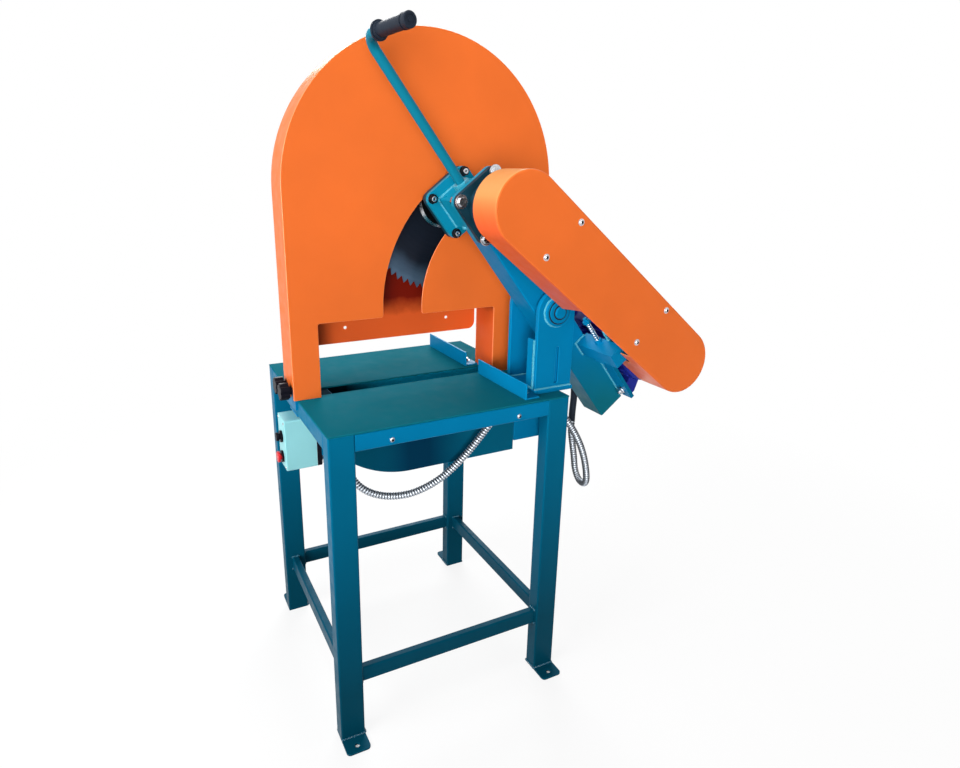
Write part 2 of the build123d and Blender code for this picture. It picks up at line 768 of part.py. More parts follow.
# Grip: stepped collar, plain body, ridge and beaded end with a ring sunk in its face
grip_plane = Plane(handle_corner + grip_way * grip_start, x_dir=grip_way, z_dir=(0, 0, 1))
grip_bore = handle_diameter / 2 + seat_gap
grip_bore_end = handle_end - grip_start + slip_gap
bead_start = grip_length - grip_end_length
ridge_end = bead_start - grip_ridge_length
ridge_start = ridge_end - grip_ridge_length
dish_floor = grip_length - grip_dish_depth
with BuildPart() as handle_grip:
    with BuildSketch(grip_plane):
        with BuildLine():
            Polyline((0, grip_bore), (0, grip_collar / 2 - 1), (1, grip_collar / 2),
                     (grip_collar_length - 1, grip_collar / 2), (grip_collar_length, grip_collar / 2 - 1),
                     (grip_collar_length, grip_step / 2), (2 * grip_collar_length, grip_step / 2),
                     (2 * grip_collar_length + 1, grip_diameter / 2), (ridge_start, grip_diameter / 2),
                     (ridge_start, grip_ridge / 2), (ridge_end, grip_ridge / 2),
                     (ridge_end, grip_diameter / 2), (bead_start, grip_diameter / 2),
                     (bead_start, grip_ridge / 2),
                     (grip_length - 2, grip_ridge / 2), (grip_length, grip_ridge / 2 - 2),
                     (grip_length, grip_dish / 2), (dish_floor, grip_dish / 2), (dish_floor, grip_button / 2),
                     (grip_length, grip_button / 2), (grip_length, 0), (grip_bore_end, 0),
                     (grip_bore_end, grip_bore), (0, grip_bore))
        make_face()
    revolve(axis=Axis(grip_plane.origin, grip_way))
save(handle_grip, "handle_grip")

# Saw blade: hooked teeth, each gullet cut from the disc
tooth_pitch = 360 / blade_teeth


def at_polar(radius, angle):
    """Point of the blade's outline from a radius and an angle in degrees."""
    return (radius * cos(radians(angle)), radius * sin(radians(angle)))


gullet_floor = blade_radius - gullet_depth
with BuildPart() as saw_blade:
    with BuildSketch(SPINDLE.offset(-blade_plate / 2)):
        Circle(blade_radius)
        with BuildLine(mode=Mode.PRIVATE) as gullet:
            tip = at_polar(blade_radius + 1, -0.06 * tooth_pitch)
            face_foot = at_polar(gullet_floor + 4, 0.12 * tooth_pitch)
            floor_point = at_polar(gullet_floor, 0.27 * tooth_pitch)
            back_foot = at_polar(gullet_floor + 3, 0.45 * tooth_pitch)
            back_top = at_polar(blade_radius - 1, 0.86 * tooth_pitch)
            outside = at_polar(blade_radius + 1, 0.9 * tooth_pitch)
            Line(tip, face_foot)
            ThreePointArc(face_foot, floor_point, back_foot)
            Polyline(back_foot, back_top, outside, tip)
        with PolarLocations(0, blade_teeth):
            add(make_face(gullet.edges(), mode=Mode.PRIVATE), mode=Mode.SUBTRACT)
        Circle(blade_seat / 2 + seat_gap, mode=Mode.SUBTRACT)
    extrude(amount=blade_plate)
save(saw_blade, "saw_blade")

# Spindle shaft, stepped from the arbor thread to the pulley seat
near_ring_end = near_housing_x + flange_thickness + bearing_body_length + ring_proud
arbor_end = blade_plate / 2 + collar_thickness + arbor_nut_height + slip_gap
collar_far = blade_plate / 2 + collar_thickness
shaft_steps = (
    (-arbor_end, -collar_far, arbor_thread),
    (-collar_far, collar_far, blade_seat),
    (collar_far, near_ring_end, spindle_diameter),
    (near_ring_end, pulley_x + pulley_width, pulley_seat),
)
with BuildPart() as spindle_shaft:
    for start, end, diameter in shaft_steps:
        with BuildSketch(SPINDLE.offset(start)):
            Circle(diameter / 2)
        extrude(amount=end - start)
    chamfer(spindle_shaft.edges().filter_by(GeomType.CIRCLE).sort_by(Axis.X)[0], 1.5)
save(spindle_shaft, "spindle_shaft")

# Inner rings of the two bearings
ring_length = flange_thickness + bearing_body_length + ring_proud - 4
far_ring_x = far_housing_x - flange_thickness - bearing_body_length - ring_proud
with BuildPart() as bearing_rings:
    for start in (near_ring_end - ring_length, far_ring_x):
        with BuildSketch(SPINDLE.offset(start)):
            Circle(bearing_bore / 2 - running_gap)
            Circle(spindle_diameter / 2 + seat_gap, mode=Mode.SUBTRACT)
        extrude(amount=ring_length)
save(bearing_rings, "bearing_rings")

# Blade clamp: two recessed collars and the arbor nut
with BuildPart() as blade_clamp:
    for start, way in ((blade_plate / 2, 1), (-blade_plate / 2, -1)):
        with BuildSketch(SPINDLE.offset(start)):
            Circle(collar_diameter / 2)
            Circle(blade_seat / 2 + seat_gap, mode=Mode.SUBTRACT)
        extrude(amount=way * collar_thickness)
        rim = blade_clamp.edges().filter_by(GeomType.CIRCLE).group_by(Axis.X)[-1 if way > 0 else 0]
        chamfer(rim.sort_by(SortBy.RADIUS)[-1], collar_thickness / 2)
    with BuildSketch(SPINDLE.offset(-collar_far)):
        RegularPolygon(arbor_nut_across / 2, 6, major_radius=False)
        Circle(arbor_thread / 2 + seat_gap, mode=Mode.SUBTRACT)
    extrude(amount=-arbor_nut_height)
save(blade_clamp, "blade_clamp")


def grooved_pulley(plane, bore):
    """Pulley with two V grooves that clear the belts, turned about the plane's normal."""
    rim = pulley_pitch_radius + pulley_lip
    root = pulley_pitch_radius - belt_under - belt_root_gap
    flank = (belt_top - belt_bottom) / 2 / (belt_over + belt_under)
    half_rim = belt_top / 2 + flank * (pulley_lip - belt_over) + belt_gap
    half_root = half_rim - flank * (rim - root)
    middle = pulley_x + pulley_width / 2
    points = [(bore / 2, pulley_x), (rim, pulley_x)]
    for shift in (-groove_spacing / 2, groove_spacing / 2):
        points += [(rim, middle + shift - half_rim), (root, middle + shift - half_root),
                   (root, middle + shift + half_root), (rim, middle + shift + half_rim)]
    points += [(rim, pulley_x + pulley_width), (bore / 2, pulley_x + pulley_width)]
    turning = Plane(plane.origin, x_dir=plane.x_dir, z_dir=-plane.y_dir)
    with BuildPart() as pulley:
        with BuildSketch(turning):
            with BuildLine():
                Polyline(*points, close=True)
            make_face()
        revolve(axis=Axis(plane.origin, plane.z_dir))
        chamfer(pulley.edges().filter_by(GeomType.CIRCLE).group_by(SortBy.RADIUS)[-1].sort_by(Axis.X)[-1], 1)
        with BuildSketch(plane.offset(pulley_x + pulley_width - pulley_lip)):
            Circle(pulley_pitch_radius - belt_under - 4 * belt_root_gap)
            Circle(pulley_hub / 2, mode=Mode.SUBTRACT)
        extrude(amount=pulley_lip, mode=Mode.SUBTRACT)
    return pulley


save(grooved_pulley(SPINDLE, pulley_seat + 2 * seat_gap), "spindle_pulley")
save(grooved_pulley(MOTOR, motor_shaft + 2 * seat_gap), "motor_pulley")

# Two V belts round both pulleys
belt_middle = pulley_x + pulley_width / 2
with BuildPart() as drive_belts:
    for shift in (-groove_spacing / 2, groove_spacing / 2):
        belt_plane = BELT.offset(belt_middle + shift)
        with BuildLine(belt_plane) as belt_path:
            Line((0, pulley_pitch_radius), (belt_run, pulley_pitch_radius))
            CenterArc((belt_run, 0), pulley_pitch_radius, 90, -180)
            Line((belt_run, -pulley_pitch_radius), (0, -pulley_pitch_radius))
            CenterArc((0, 0), pulley_pitch_radius, 270, -180)
        start = belt_plane.from_local_coords((0, pulley_pitch_radius, 0))
        with BuildSketch(Plane(start, x_dir=(1, 0, 0), z_dir=BELT.x_dir)):
            with BuildLine():
                Polyline((-belt_top / 2, -belt_over), (belt_top / 2, -belt_over),
                         (belt_bottom / 2, belt_under), (-belt_bottom / 2, belt_under), close=True)
            make_face()
        sweep(path=belt_path.wires()[0])
save(drive_belts, "drive_belts")

# Belt guard: deep tray over the belts, open at the back, cut out below for the cross tube
belt_guard_depth = belt_guard_front_x - belt_guard_back_x
with BuildPart() as belt_guard:
    with BuildSketch(BELT.offset(belt_guard_back_x)):
        with Locations((belt_run / 2, 0)):
            SlotCenterToCenter(belt_run, 2 * belt_guard_radius)
    extrude(amount=belt_guard_depth)
    fillet(belt_guard.faces().sort_by(Axis.X)[-1].edges(), belt_guard_corner)
    with BuildSketch(BELT.offset(belt_guard_back_x)):
        with Locations((belt_run / 2, 0)):
            SlotCenterToCenter(belt_run, 2 * (belt_guard_radius - belt_guard_sheet))
    extrude(amount=belt_guard_depth - belt_guard_sheet, mode=Mode.SUBTRACT)
    wall_foot = BELT.from_local_coords((0, -belt_guard_radius, 0))
    lower_wall = Plane(wall_foot, x_dir=BELT.x_dir, z_dir=-BELT.y_dir)
    cutout_front = belt_guard_front_x - belt_guard_corner
    tube_front = cross_tube_end_x + 4 * belt_guard_sheet
    with BuildSketch(lower_wall):
        with BuildLine():
            Polyline((cutout_start + cutout_slant, belt_guard_back_x), (cutout_start, cutout_front),
                     (cutout_end, cutout_front), (cutout_end, tube_front),
                     (cutout_end + cutout_step, tube_front),
                     (cutout_end + cutout_step, belt_guard_back_x), close=True)
        make_face()
    extrude(amount=2 * belt_guard_sheet, both=True, mode=Mode.SUBTRACT)
save(belt_guard, "belt_guard")

# Cross tube on the near side of the beam, closed at its outer end
with BuildPart() as cross_tube:
    with BuildSketch(ARM.offset(beam_near_x)):
        with Locations((cross_tube_u, cross_tube_n)):
            Rectangle(cross_tube_size, cross_tube_size)
    extrude(amount=cross_tube_end_x - beam_near_x)
    with BuildSketch(ARM.offset(beam_near_x)):
        with Locations((cross_tube_u, cross_tube_n)):
            Rectangle(cross_tube_size - 2 * cross_tube_wall, cross_tube_size - 2 * cross_tube_wall)
    extrude(amount=cross_tube_end_x - beam_near_x - cross_tube_wall, mode=Mode.SUBTRACT)
    screw_way = Plane(ARM.from_local_coords((cross_tube_u - cross_tube_size, screw_n, screw_x)),
                      x_dir=(1, 0, 0), z_dir=ARM.x_dir)
    with BuildSketch(screw_way):
        Circle(screw_diameter / 2 + slip_gap)
    extrude(amount=2 * cross_tube_size, mode=Mode.SUBTRACT)
save(cross_tube, "cross_tube")

# Brackets of the belt guard: a strap behind its face on a post, at the beam and at the cross tube
strap_x = belt_guard_front_x - belt_guard_sheet - strap_plate


def belt_line(u):
    """Height of the belt's centre line above the arm's centre line at a place along the arm."""
    return (u + arm_length) * tan(radians(belt_tilt))


cross_tube_top = cross_tube_n + cross_tube_size / 2
with BuildPart() as belt_guard_brackets:
    for strap_u, post_start in ((front_strap_u, beam_near_x), (rear_strap_u, strap_carrier_x + strap_plate)):
        middle = (strap_u, belt_line(strap_u))
        with BuildSketch(ARM.offset(strap_x)):
            with Locations(middle):
                Rectangle(strap_width, strap_length)
        extrude(amount=strap_plate)
        with BuildSketch(ARM.offset(post_start)):
            with Locations(middle):
                Circle(post_diameter / 2)
        extrude(amount=strap_x - post_start)
    carrier_start = rear_strap_u - strap_width / 2
    carrier_end = cross_tube_u + cross_tube_size / 2
    with BuildSketch(ARM.offset(strap_carrier_x)):
        with Locations((carrier_start, cross_tube_top)):
            Rectangle(carrier_end - carrier_start, belt_line(rear_strap_u) + post_diameter - cross_tube_top,
                      align=Align.MIN)
    extrude(amount=strap_plate)
save(belt_guard_brackets, "belt_guard_brackets")

# Motor plate on top of the beam, slotted for belt tension, with an ear for the tension screw
plate_floor = beam_size / 2
with BuildPart() as motor_mount:
    with BuildSketch(ARM.offset(motor_plate_far_x)):
        with Locations((motor_plate_start, plate_floor)):
            Rectangle(motor_plate_end - motor_plate_start, motor_plate, align=Align.MIN)
    extrude(amount=motor_plate_near_x - motor_plate_far_x)
    with BuildSketch(ARM.offset(screw_x - ear_width / 2)):
        with Locations((motor_plate_start, plate_floor + motor_plate)):
            Rectangle(ear_plate, ear_depth + motor_plate, align=(Align.MIN, Align.MAX))
    extrude(amount=ear_width)
    slot_plane = Plane(ARM.from_local_coords((motor_u, plate_floor, 0)), x_dir=ARM.x_dir, z_dir=ARM.y_dir)
    with BuildSketch(slot_plane):
        for side in (-1, 1):
            for x in (foot_front_x, foot_rear_x):
                with Locations((side * foot_span / 2, -x)):
                    SlotOverall(slot_travel, foot_bolt + 2 * slip_gap)
    extrude(amount=motor_plate, mode=Mode.SUBTRACT)
    with BuildSketch(screw_way):
        Circle(screw_diameter / 2 + slip_gap)
    extrude(amount=4 * cross_tube_size, mode=Mode.SUBTRACT)
save(motor_mount, "motor_plate")

# Tension screw through the cross tube and the ear, with its nuts
screw_end = motor_plate_start + ear_plate + 2 * screw_nut_height
nut_places = (cross_tube_u - cross_tube_size / 2 - screw_nut_height, motor_plate_start + ear_plate,
              screw_start + screw_nut_height)
with BuildPart() as tension_screw:
    screw_plane = Plane(ARM.from_local_coords((0, screw_n, screw_x)), x_dir=(1, 0, 0), z_dir=ARM.x_dir)
    with BuildSketch(screw_plane.offset(screw_start)):
        Circle(screw_diameter / 2)
    extrude(amount=screw_end - screw_start)
    for place in nut_places:
        with BuildSketch(screw_plane.offset(place)):
            RegularPolygon(screw_nut_across / 2, 6, major_radius=False)
        extrude(amount=screw_nut_height)
save(tension_screw, "tension_screw")

# Motor frame: finned body with four feet
with BuildPart() as motor_frame:
    with BuildSketch(MOTOR.offset(stator_rear_x)):
        Circle(stator_radius)
        with PolarLocations(stator_radius - 1, fin_count):
            Rectangle(fin_radius - stator_radius + 1, fin_width, align=(Align.MIN, Align.CENTER))
    extrude(amount=stator_length)
    for x in (foot_front_x, foot_rear_x):
        with BuildSketch(MOTOR.offset(x - foot_pad_x / 2)):
            for side in (-1, 1):
                with Locations((side * foot_span / 2, -motor_shaft_height)):
                    Rectangle(foot_pad, foot_height, align=(Align.CENTER, Align.MIN))
                with BuildLine():
                    Polyline((side * (foot_span + foot_pad) / 2, foot_height - motor_shaft_height),
                             (side * stator_radius * 0.85, -stator_radius * 0.45),
                             (side * stator_radius * 0.45, -stator_radius * 0.85),
                             (side * (foot_span - foot_pad) / 2, foot_height - motor_shaft_height),
                             close=True)
                make_face()
        extrude(amount=foot_pad_x)
    sole = MOTOR.from_local_coords((0, -motor_shaft_height, 0))
    hole_plane = Plane(sole, x_dir=MOTOR.x_dir, z_dir=MOTOR.y_dir)
    with BuildSketch(hole_plane):
        for side in (-1, 1):
            for x in (foot_front_x, foot_rear_x):
                with Locations((side * foot_span / 2, -x)):
                    Circle(foot_bolt / 2 + slip_gap)
    extrude(amount=foot_height * 1.5, mode=Mode.SUBTRACT)
    with BuildSketch(MOTOR.offset(stator_rear_x)):
        Circle(motor_shaft / 2 + slip_gap)
    extrude(amount=stator_length, mode=Mode.SUBTRACT)
save(motor_frame, "motor_frame")

# End bells that carry the motor shaft
with BuildPart() as motor_end_bells:
    for seat_x, way, length in ((stator_front_x, 1, bell_front), (stator_rear_x, -1, bell_rear)):
        with BuildSketch(MOTOR.offset(seat_x)):
            Circle(bell_radius)
        with BuildSketch(MOTOR.offset(seat_x + way * length / 2)):
            Circle(bell_radius)
        loft()
        with BuildSketch(MOTOR.offset(seat_x + way * length / 2)):
            Circle(bell_radius)
        with BuildSketch(MOTOR.offset(seat_x + way * length)):
            Circle(bell_radius - length / 2)
        loft()
        with BuildSketch(MOTOR.offset(seat_x)):
            Circle(motor_shaft / 2 + running_gap)
        extrude(amount=way * length, mode=Mode.SUBTRACT)
save(motor_end_bells, "motor_end_bells")

# Fan cover behind the rear bell, with a ring of air slots
fan_cover_x = bell_rear_x - fan_cover_length + bell_rear / 2
with BuildPart() as motor_fan_cover:
    with BuildSketch(MOTOR.offset(fan_cover_x)):
        Circle(bell_radius + fan_cover_sheet + seat_gap)
    extrude(amount=fan_cover_length)
    fillet(motor_fan_cover.edges().filter_by(GeomType.CIRCLE).sort_by(Axis.X)[0], 10)
    offset(amount=-fan_cover_sheet, openings=motor_fan_cover.faces().sort_by(Axis.X)[-1])
    with BuildSketch(MOTOR.offset(fan_cover_x)):
        with PolarLocations(bell_radius * 0.55, 12):
            SlotOverall(bell_radius * 0.45, 8, mode=Mode.ADD)
    extrude(amount=fan_cover_sheet, mode=Mode.SUBTRACT)
save(motor_fan_cover, "motor_fan_cover")

# Motor shaft from the rear bell to the pulley
with BuildPart() as rotor_shaft:
    with BuildSketch(MOTOR.offset(bell_rear_x)):
        Circle(motor_shaft / 2)
    extrude(amount=motor_front_x + motor_shaft_length - bell_rear_x)
    chamfer(rotor_shaft.edges().filter_by(GeomType.CIRCLE), 1)
save(rotor_shaft, "motor_shaft")

# Terminal box on the side of the motor towards the arm, with a gland for the sleeve
terminal_floor_u = -fin_radius - terminal_height
gland_n = -terminal_n / 2
gland_u = terminal_floor_u + terminal_height * 0.4
gland_x = terminal_far_x + gland_across
with BuildPart() as terminal_box:
    with BuildSketch(MOTOR.offset(terminal_far_x)):
        with Locations((terminal_floor_u, 0)):
            Rectangle(terminal_height, terminal_n, align=(Align.MIN, Align.CENTER))
    extrude(amount=terminal_x)
    fillet(terminal_box.edges().filter_by(Axis.X), control_corner)
    gland_foot = MOTOR.from_local_coords((gland_u, gland_n, gland_x))
    gland_plane = Plane(gland_foot, x_dir=(1, 0, 0), z_dir=-MOTOR.y_dir)
    with BuildSketch(gland_plane):
        RegularPolygon(gland_across / 2, 6, major_radius=False)
    extrude(amount=gland_length)
save(terminal_box, "terminal_box")

# Control box: bracket under the front rail, black base, pale cover
control_top = rail_floor - control_top_gap
control_floor = control_top - control_height
control_mid_x = control_near_x - control_width / 2
cover_back_y = control_front_y + control_depth
base_back_y = cover_back_y + control_base_depth
with BuildPart() as control_bracket:
    with Locations((control_mid_x, base_back_y, rail_floor)):
        Box(control_width, control_bracket_plate, control_height * 0.8 + control_top_gap,
            align=(Align.CENTER, Align.MIN, Align.MAX))
    with Locations((control_mid_x, -half_length, rail_floor)):
        Box(control_width, base_back_y + half_length, control_bracket_plate,
            align=(Align.CENTER, Align.MIN, Align.MAX))
save(control_bracket, "control_bracket")
with BuildPart() as control_box_base:
    with Locations((control_mid_x, cover_back_y, control_floor)):
        Box(control_width, control_base_depth, control_height, align=(Align.CENTER, Align.MIN, Align.MIN))
    fillet(control_box_base.edges().filter_by(Axis.Y), control_corner)
save(control_box_base, "control_box_base")
start_z = control_floor + button_rise
stop_z = start_z - button_drop
with BuildPart() as control_box_cover:
    with Locations((control_mid_x, control_front_y, control_floor)):
        Box(control_width, control_depth, control_height, align=(Align.CENTER, Align.MIN, Align.MIN))
    fillet(control_box_cover.edges().filter_by(Axis.Y), control_corner)
    fillet(control_box_cover.faces().sort_by(Axis.Y)[0].edges(), control_corner / 2)
    with Locations((control_mid_x, control_front_y + control_wall, control_floor + control_wall)):
        Box(control_width - 2 * control_wall, control_depth - control_wall, control_height - 2 * control_wall,
            align=(Align.CENTER, Align.MIN, Align.MIN), mode=Mode.SUBTRACT)
    with BuildSketch(Plane.XZ.offset(-control_front_y)):
        for z in (start_z, stop_z):
            with Locations((control_mid_x, z)):
                Circle(button_hole / 2)
    extrude(amount=-control_wall, mode=Mode.SUBTRACT)
save(control_box_cover, "control_box_cover")

# Button collars in the cover, contact blocks behind them, and the two buttons
with BuildPart() as button_collars:
    for z in (start_z, stop_z):
        with BuildSketch(Plane.XZ.offset(-control_front_y)):
            with Locations((control_mid_x, z)):
                Circle(collar_outer / 2)
        extrude(amount=collar_proud)
        with BuildSketch(Plane.XZ.offset(-control_front_y)):
            with Locations((control_mid_x, z)):
                Circle(button_hole / 2 - seat_gap)
        extrude(amount=-collar_length)
        with BuildSketch(Plane.XZ.offset(-control_front_y + collar_proud)):
            with Locations((control_mid_x, z)):
                Circle(button_stem / 2 + running_gap)
        extrude(amount=-collar_length - collar_proud, mode=Mode.SUBTRACT)
save(button_collars, "button_collars")
contact_front_y = control_front_y + collar_length
with BuildPart() as contact_blocks:
    for z in (start_z, stop_z):
        with Locations((control_mid_x, contact_front_y, z)):
            Box(contact_block, contact_depth, contact_block, align=(Align.CENTER, Align.MIN, Align.CENTER))
    with BuildSketch(Plane.XZ.offset(-contact_front_y)):
        for z in (start_z, stop_z):
            with Locations((control_mid_x, z)):
                Circle(button_stem / 2 + slip_gap)
    extrude(amount=-2 * button_travel, mode=Mode.SUBTRACT)
save(contact_blocks, "contact_blocks")
cap_seat = -control_front_y + collar_proud + button_travel + button_gap
for label, z, cap in (("start_button", start_z, button_cap_start), ("stop_button", stop_z, button_cap_stop)):
    with BuildPart() as button:
        with BuildSketch(Plane.XZ.offset(cap_seat)):
            with Locations((control_mid_x, z)):
                Circle(cap / 2)
        extrude(amount=button_cap)
        fillet(button.edges().filter_by(GeomType.CIRCLE).sort_by(Axis.Y)[0], button_cap / 3)
        with BuildSketch(Plane.XZ.offset(cap_seat)):
            with Locations((control_mid_x, z)):
                Circle(button_stem / 2)
        extrude(amount=-(collar_proud + button_travel + button_gap + collar_length - slip_gap))
    save(button, label)

# Gland on the back of the control box, under its bracket
box_gland_x = control_near_x - box_gland_inset
box_gland_z = control_floor + box_gland_rise
with BuildPart() as conduit_gland:
    with BuildSketch(Plane.XZ.offset(-base_back_y)):
        with Locations((box_gland_x, box_gland_z)):
            RegularPolygon(gland_across / 2, 6, major_radius=False)
    extrude(amount=-box_gland_length)
save(conduit_gland, "conduit_gland")


def bend_radii(points):
    """Largest arc at each inner point: 0.45 of the shorter run over the tangent of half the turn."""
    radii = []
    for before, here, after in zip(points, points[1:], points[2:]):
        run_in = Vector(*here) - Vector(*before)
        run_out = Vector(*after) - Vector(*here)
        turn = radians(run_in.get_angle(run_out))
        radii.append(0.45 * min(run_in.length, run_out.length) / tan(turn / 2))
    return radii


def conduit_tube(points, name):
    """Plain round tube along straight runs and tangent arcs."""
    radii = bend_radii(points)
    print(name, "bend radii", [round(radius, 1) for radius in radii])
    first = Vector(*points[1]) - Vector(*points[0])
    with BuildPart() as tube:
        with BuildLine() as route:
            FilletPolyline(*points, radius=radii)
        with BuildSketch(Plane(points[0], z_dir=first)):
            Circle(conduit_diameter / 2)
        sweep(path=route.wires()[0])
    length = route.wires()[0].length
    section = 3.14159265 * conduit_diameter ** 2 / 4
    print(name, "length", round(length, 1), "volume ratio", round(tube.part.volume / (section * length), 4))
    return tube


# Flexible conduit from the control box, sagging under the table to the hanging loop behind it
# Each place is X, Y and the drop below the table top
conduit_places = (
    (8, -212, 175),
    (13, -193, 195),
    (22, -181, 228),
    (34, -163, 260),
    (46, -136, 282),
    (56, -98, 297),
    (62, -52, 303),
    (66, -8, 300),
    (72, 52, 278),
    (79, 102, 240),
    (86, 146, 194),
    (92, 184, 146),
    (98, 220, 100),
    (104, 260, 70),
    (111, 306, 62),
    (119, 354, 76),
    (127, 400, 110),
    (133, 440, 160),
    (137, 472, 216),
    (137, 492, 264),
    (137, 504, 310),
    (132, 513, 350),
    (109, 522, 374),
    (76, 528, 375),
    (53, 530, 351),
    (50, 526, 308),
    (50, 517, 264),
    (50, 508, 222),
    (50, 508, 186),
)
conduit_start = (box_gland_x, base_back_y + box_gland_length, box_gland_z)
conduit_route = [conduit_start] + [(x, y, table_height - drop) for x, y, drop in conduit_places]
save(conduit_tube(conduit_route, "conduit_run"), "conduit_run")

# Black sleeve that carries the wires on to the motor
sleeve_end = gland_plane.offset(gland_length).origin
sleeve_places = (
    (50, 508, 186),
    (50, 508, 158),
    (50, 511, 110),
    (52, 506, 62),
    (56, 484, 16),
    (61, 452, -18),
    (66, 426, -50),
    (69, 415, -88),
)
sleeve_route = [(x, y, table_height - drop) for x, y, drop in sleeve_places] + [
    tuple(sleeve_end + gland_plane.z_dir * 38),
    tuple(sleeve_end),
]
save(conduit_tube(sleeve_route, "conduit_sleeve"), "conduit_sleeve")
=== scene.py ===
"""Looks of a swing-arm crosscut saw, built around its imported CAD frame."""
import json
from math import cos, pi, radians, sin, sqrt

import bpy
from mathutils import Euler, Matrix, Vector


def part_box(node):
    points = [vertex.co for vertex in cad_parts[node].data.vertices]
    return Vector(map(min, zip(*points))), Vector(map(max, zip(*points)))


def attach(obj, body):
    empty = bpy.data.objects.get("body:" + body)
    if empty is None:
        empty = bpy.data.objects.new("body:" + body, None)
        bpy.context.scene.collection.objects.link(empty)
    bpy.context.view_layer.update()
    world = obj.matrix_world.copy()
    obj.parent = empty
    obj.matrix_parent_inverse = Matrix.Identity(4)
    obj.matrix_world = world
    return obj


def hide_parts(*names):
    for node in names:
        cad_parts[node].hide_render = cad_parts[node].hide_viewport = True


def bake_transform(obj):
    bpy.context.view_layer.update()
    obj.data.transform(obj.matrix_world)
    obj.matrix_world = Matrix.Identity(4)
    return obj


bl_info = {
    "name": "Crosscut Saw Looks",
    "version": (1, 0, 0),
    "blender": (4, 5, 0),
    "location": "View3D > Sidebar > Saw",
    "description": "Paint, fasteners, welds and wiring for a swing-arm crosscut saw",
    "category": "Object",
}

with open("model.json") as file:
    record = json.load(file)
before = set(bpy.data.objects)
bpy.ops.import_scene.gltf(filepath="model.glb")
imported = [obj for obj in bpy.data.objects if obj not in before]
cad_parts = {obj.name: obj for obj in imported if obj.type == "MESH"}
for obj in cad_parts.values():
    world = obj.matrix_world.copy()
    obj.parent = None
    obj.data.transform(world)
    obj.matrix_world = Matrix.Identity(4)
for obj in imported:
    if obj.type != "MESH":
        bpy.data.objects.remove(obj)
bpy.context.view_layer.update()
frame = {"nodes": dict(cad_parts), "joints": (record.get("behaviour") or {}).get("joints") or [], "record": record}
NODES = frame["nodes"]
JOINTS = {joint["name"]: joint for joint in frame["joints"]}
SLOTS = {entry["node"]: entry["material_slot"] for entry in frame["record"]["subparts"]}
MM = 0.001

# Places taken from the frame's joints and node boxes
PIVOT = Vector(JOINTS["arm_swing"]["pos_m"])
SPINDLE = Vector(JOINTS["spindle_spin"]["pos_m"])
MOTOR = Vector(JOINTS["motor_spin"]["pos_m"])
ALONG = (PIVOT - SPINDLE).normalized()
ACROSS = Vector((0, -ALONG.z, ALONG.y))
TABLE_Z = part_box("table_plate_right")[1].z
GUARD_LOW, GUARD_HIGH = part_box("guard_rim")
GUARD_MIDDLE = (GUARD_LOW.x + GUARD_HIGH.x) / 2
BLADE_RADIUS = (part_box("saw_blade")[1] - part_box("saw_blade")[0]).y / 2
CHUTE_MIDDLE = sum(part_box("dust_chute"), Vector()).x / 2
WINDOW_TOP = TABLE_Z + 0.183

# Directions, and the turns of four screws round a circle
RIGHT = (1, 0, 0)
UP = (0, 0, 1)
TO_OPERATOR = (0, -1, 0)
QUARTERS = tuple(pi / 4 + quarter * pi / 2 for quarter in range(4))

# Tones and thresholds that several finishes share
WHITE = (1, 1, 1, 1)
BLUE_SHEEN = (0.10, 0.60, 1.0)
ORANGE_SHEEN = (1.0, 0.42, 0.22)
# Painted shade: near-black blue for the inside of the chute
PAINTED_CHUTE_SHADE = (0.001, 0.020, 0.034)
NOISE_LOW, NOISE_HIGH = 0.3, 0.7
SQUARE_ON = 0.9
FASTENER_CREASE = 32
WELD_CREASE = 80
CIRCLE_STEPS = 48
HEXAGON = 6
WASHER_SIDES = 28


def arm_point(u, n, x):
    """Point of the swing arm, in millimetres: u along it from the pivot to the motor, n square
    to it, x across."""
    return Vector((x * MM, PIVOT.y, PIVOT.z)) + ALONG * (u * MM) + ACROSS * (n * MM)


def row_point(x, y, z):
    """Point of the stand, in millimetres."""
    return Vector((x, y, z)) * MM


# Settings a user would change

def colour_prop(name, description, default):
    """Colour setting, in linear light."""
    return bpy.props.FloatVectorProperty(
        name=name, description=description, default=default, subtype="COLOR", size=3, min=0, max=1)


def size_prop(name, description, default):
    """Length setting, given in millimetres."""
    return bpy.props.FloatProperty(
        name=name, description=description, default=default * MM, unit="LENGTH", min=0)


def power_prop(name, description, default):
    """Lamp power setting."""
    return bpy.props.FloatProperty(
        name=name, description=description, default=default, unit="POWER", min=0)


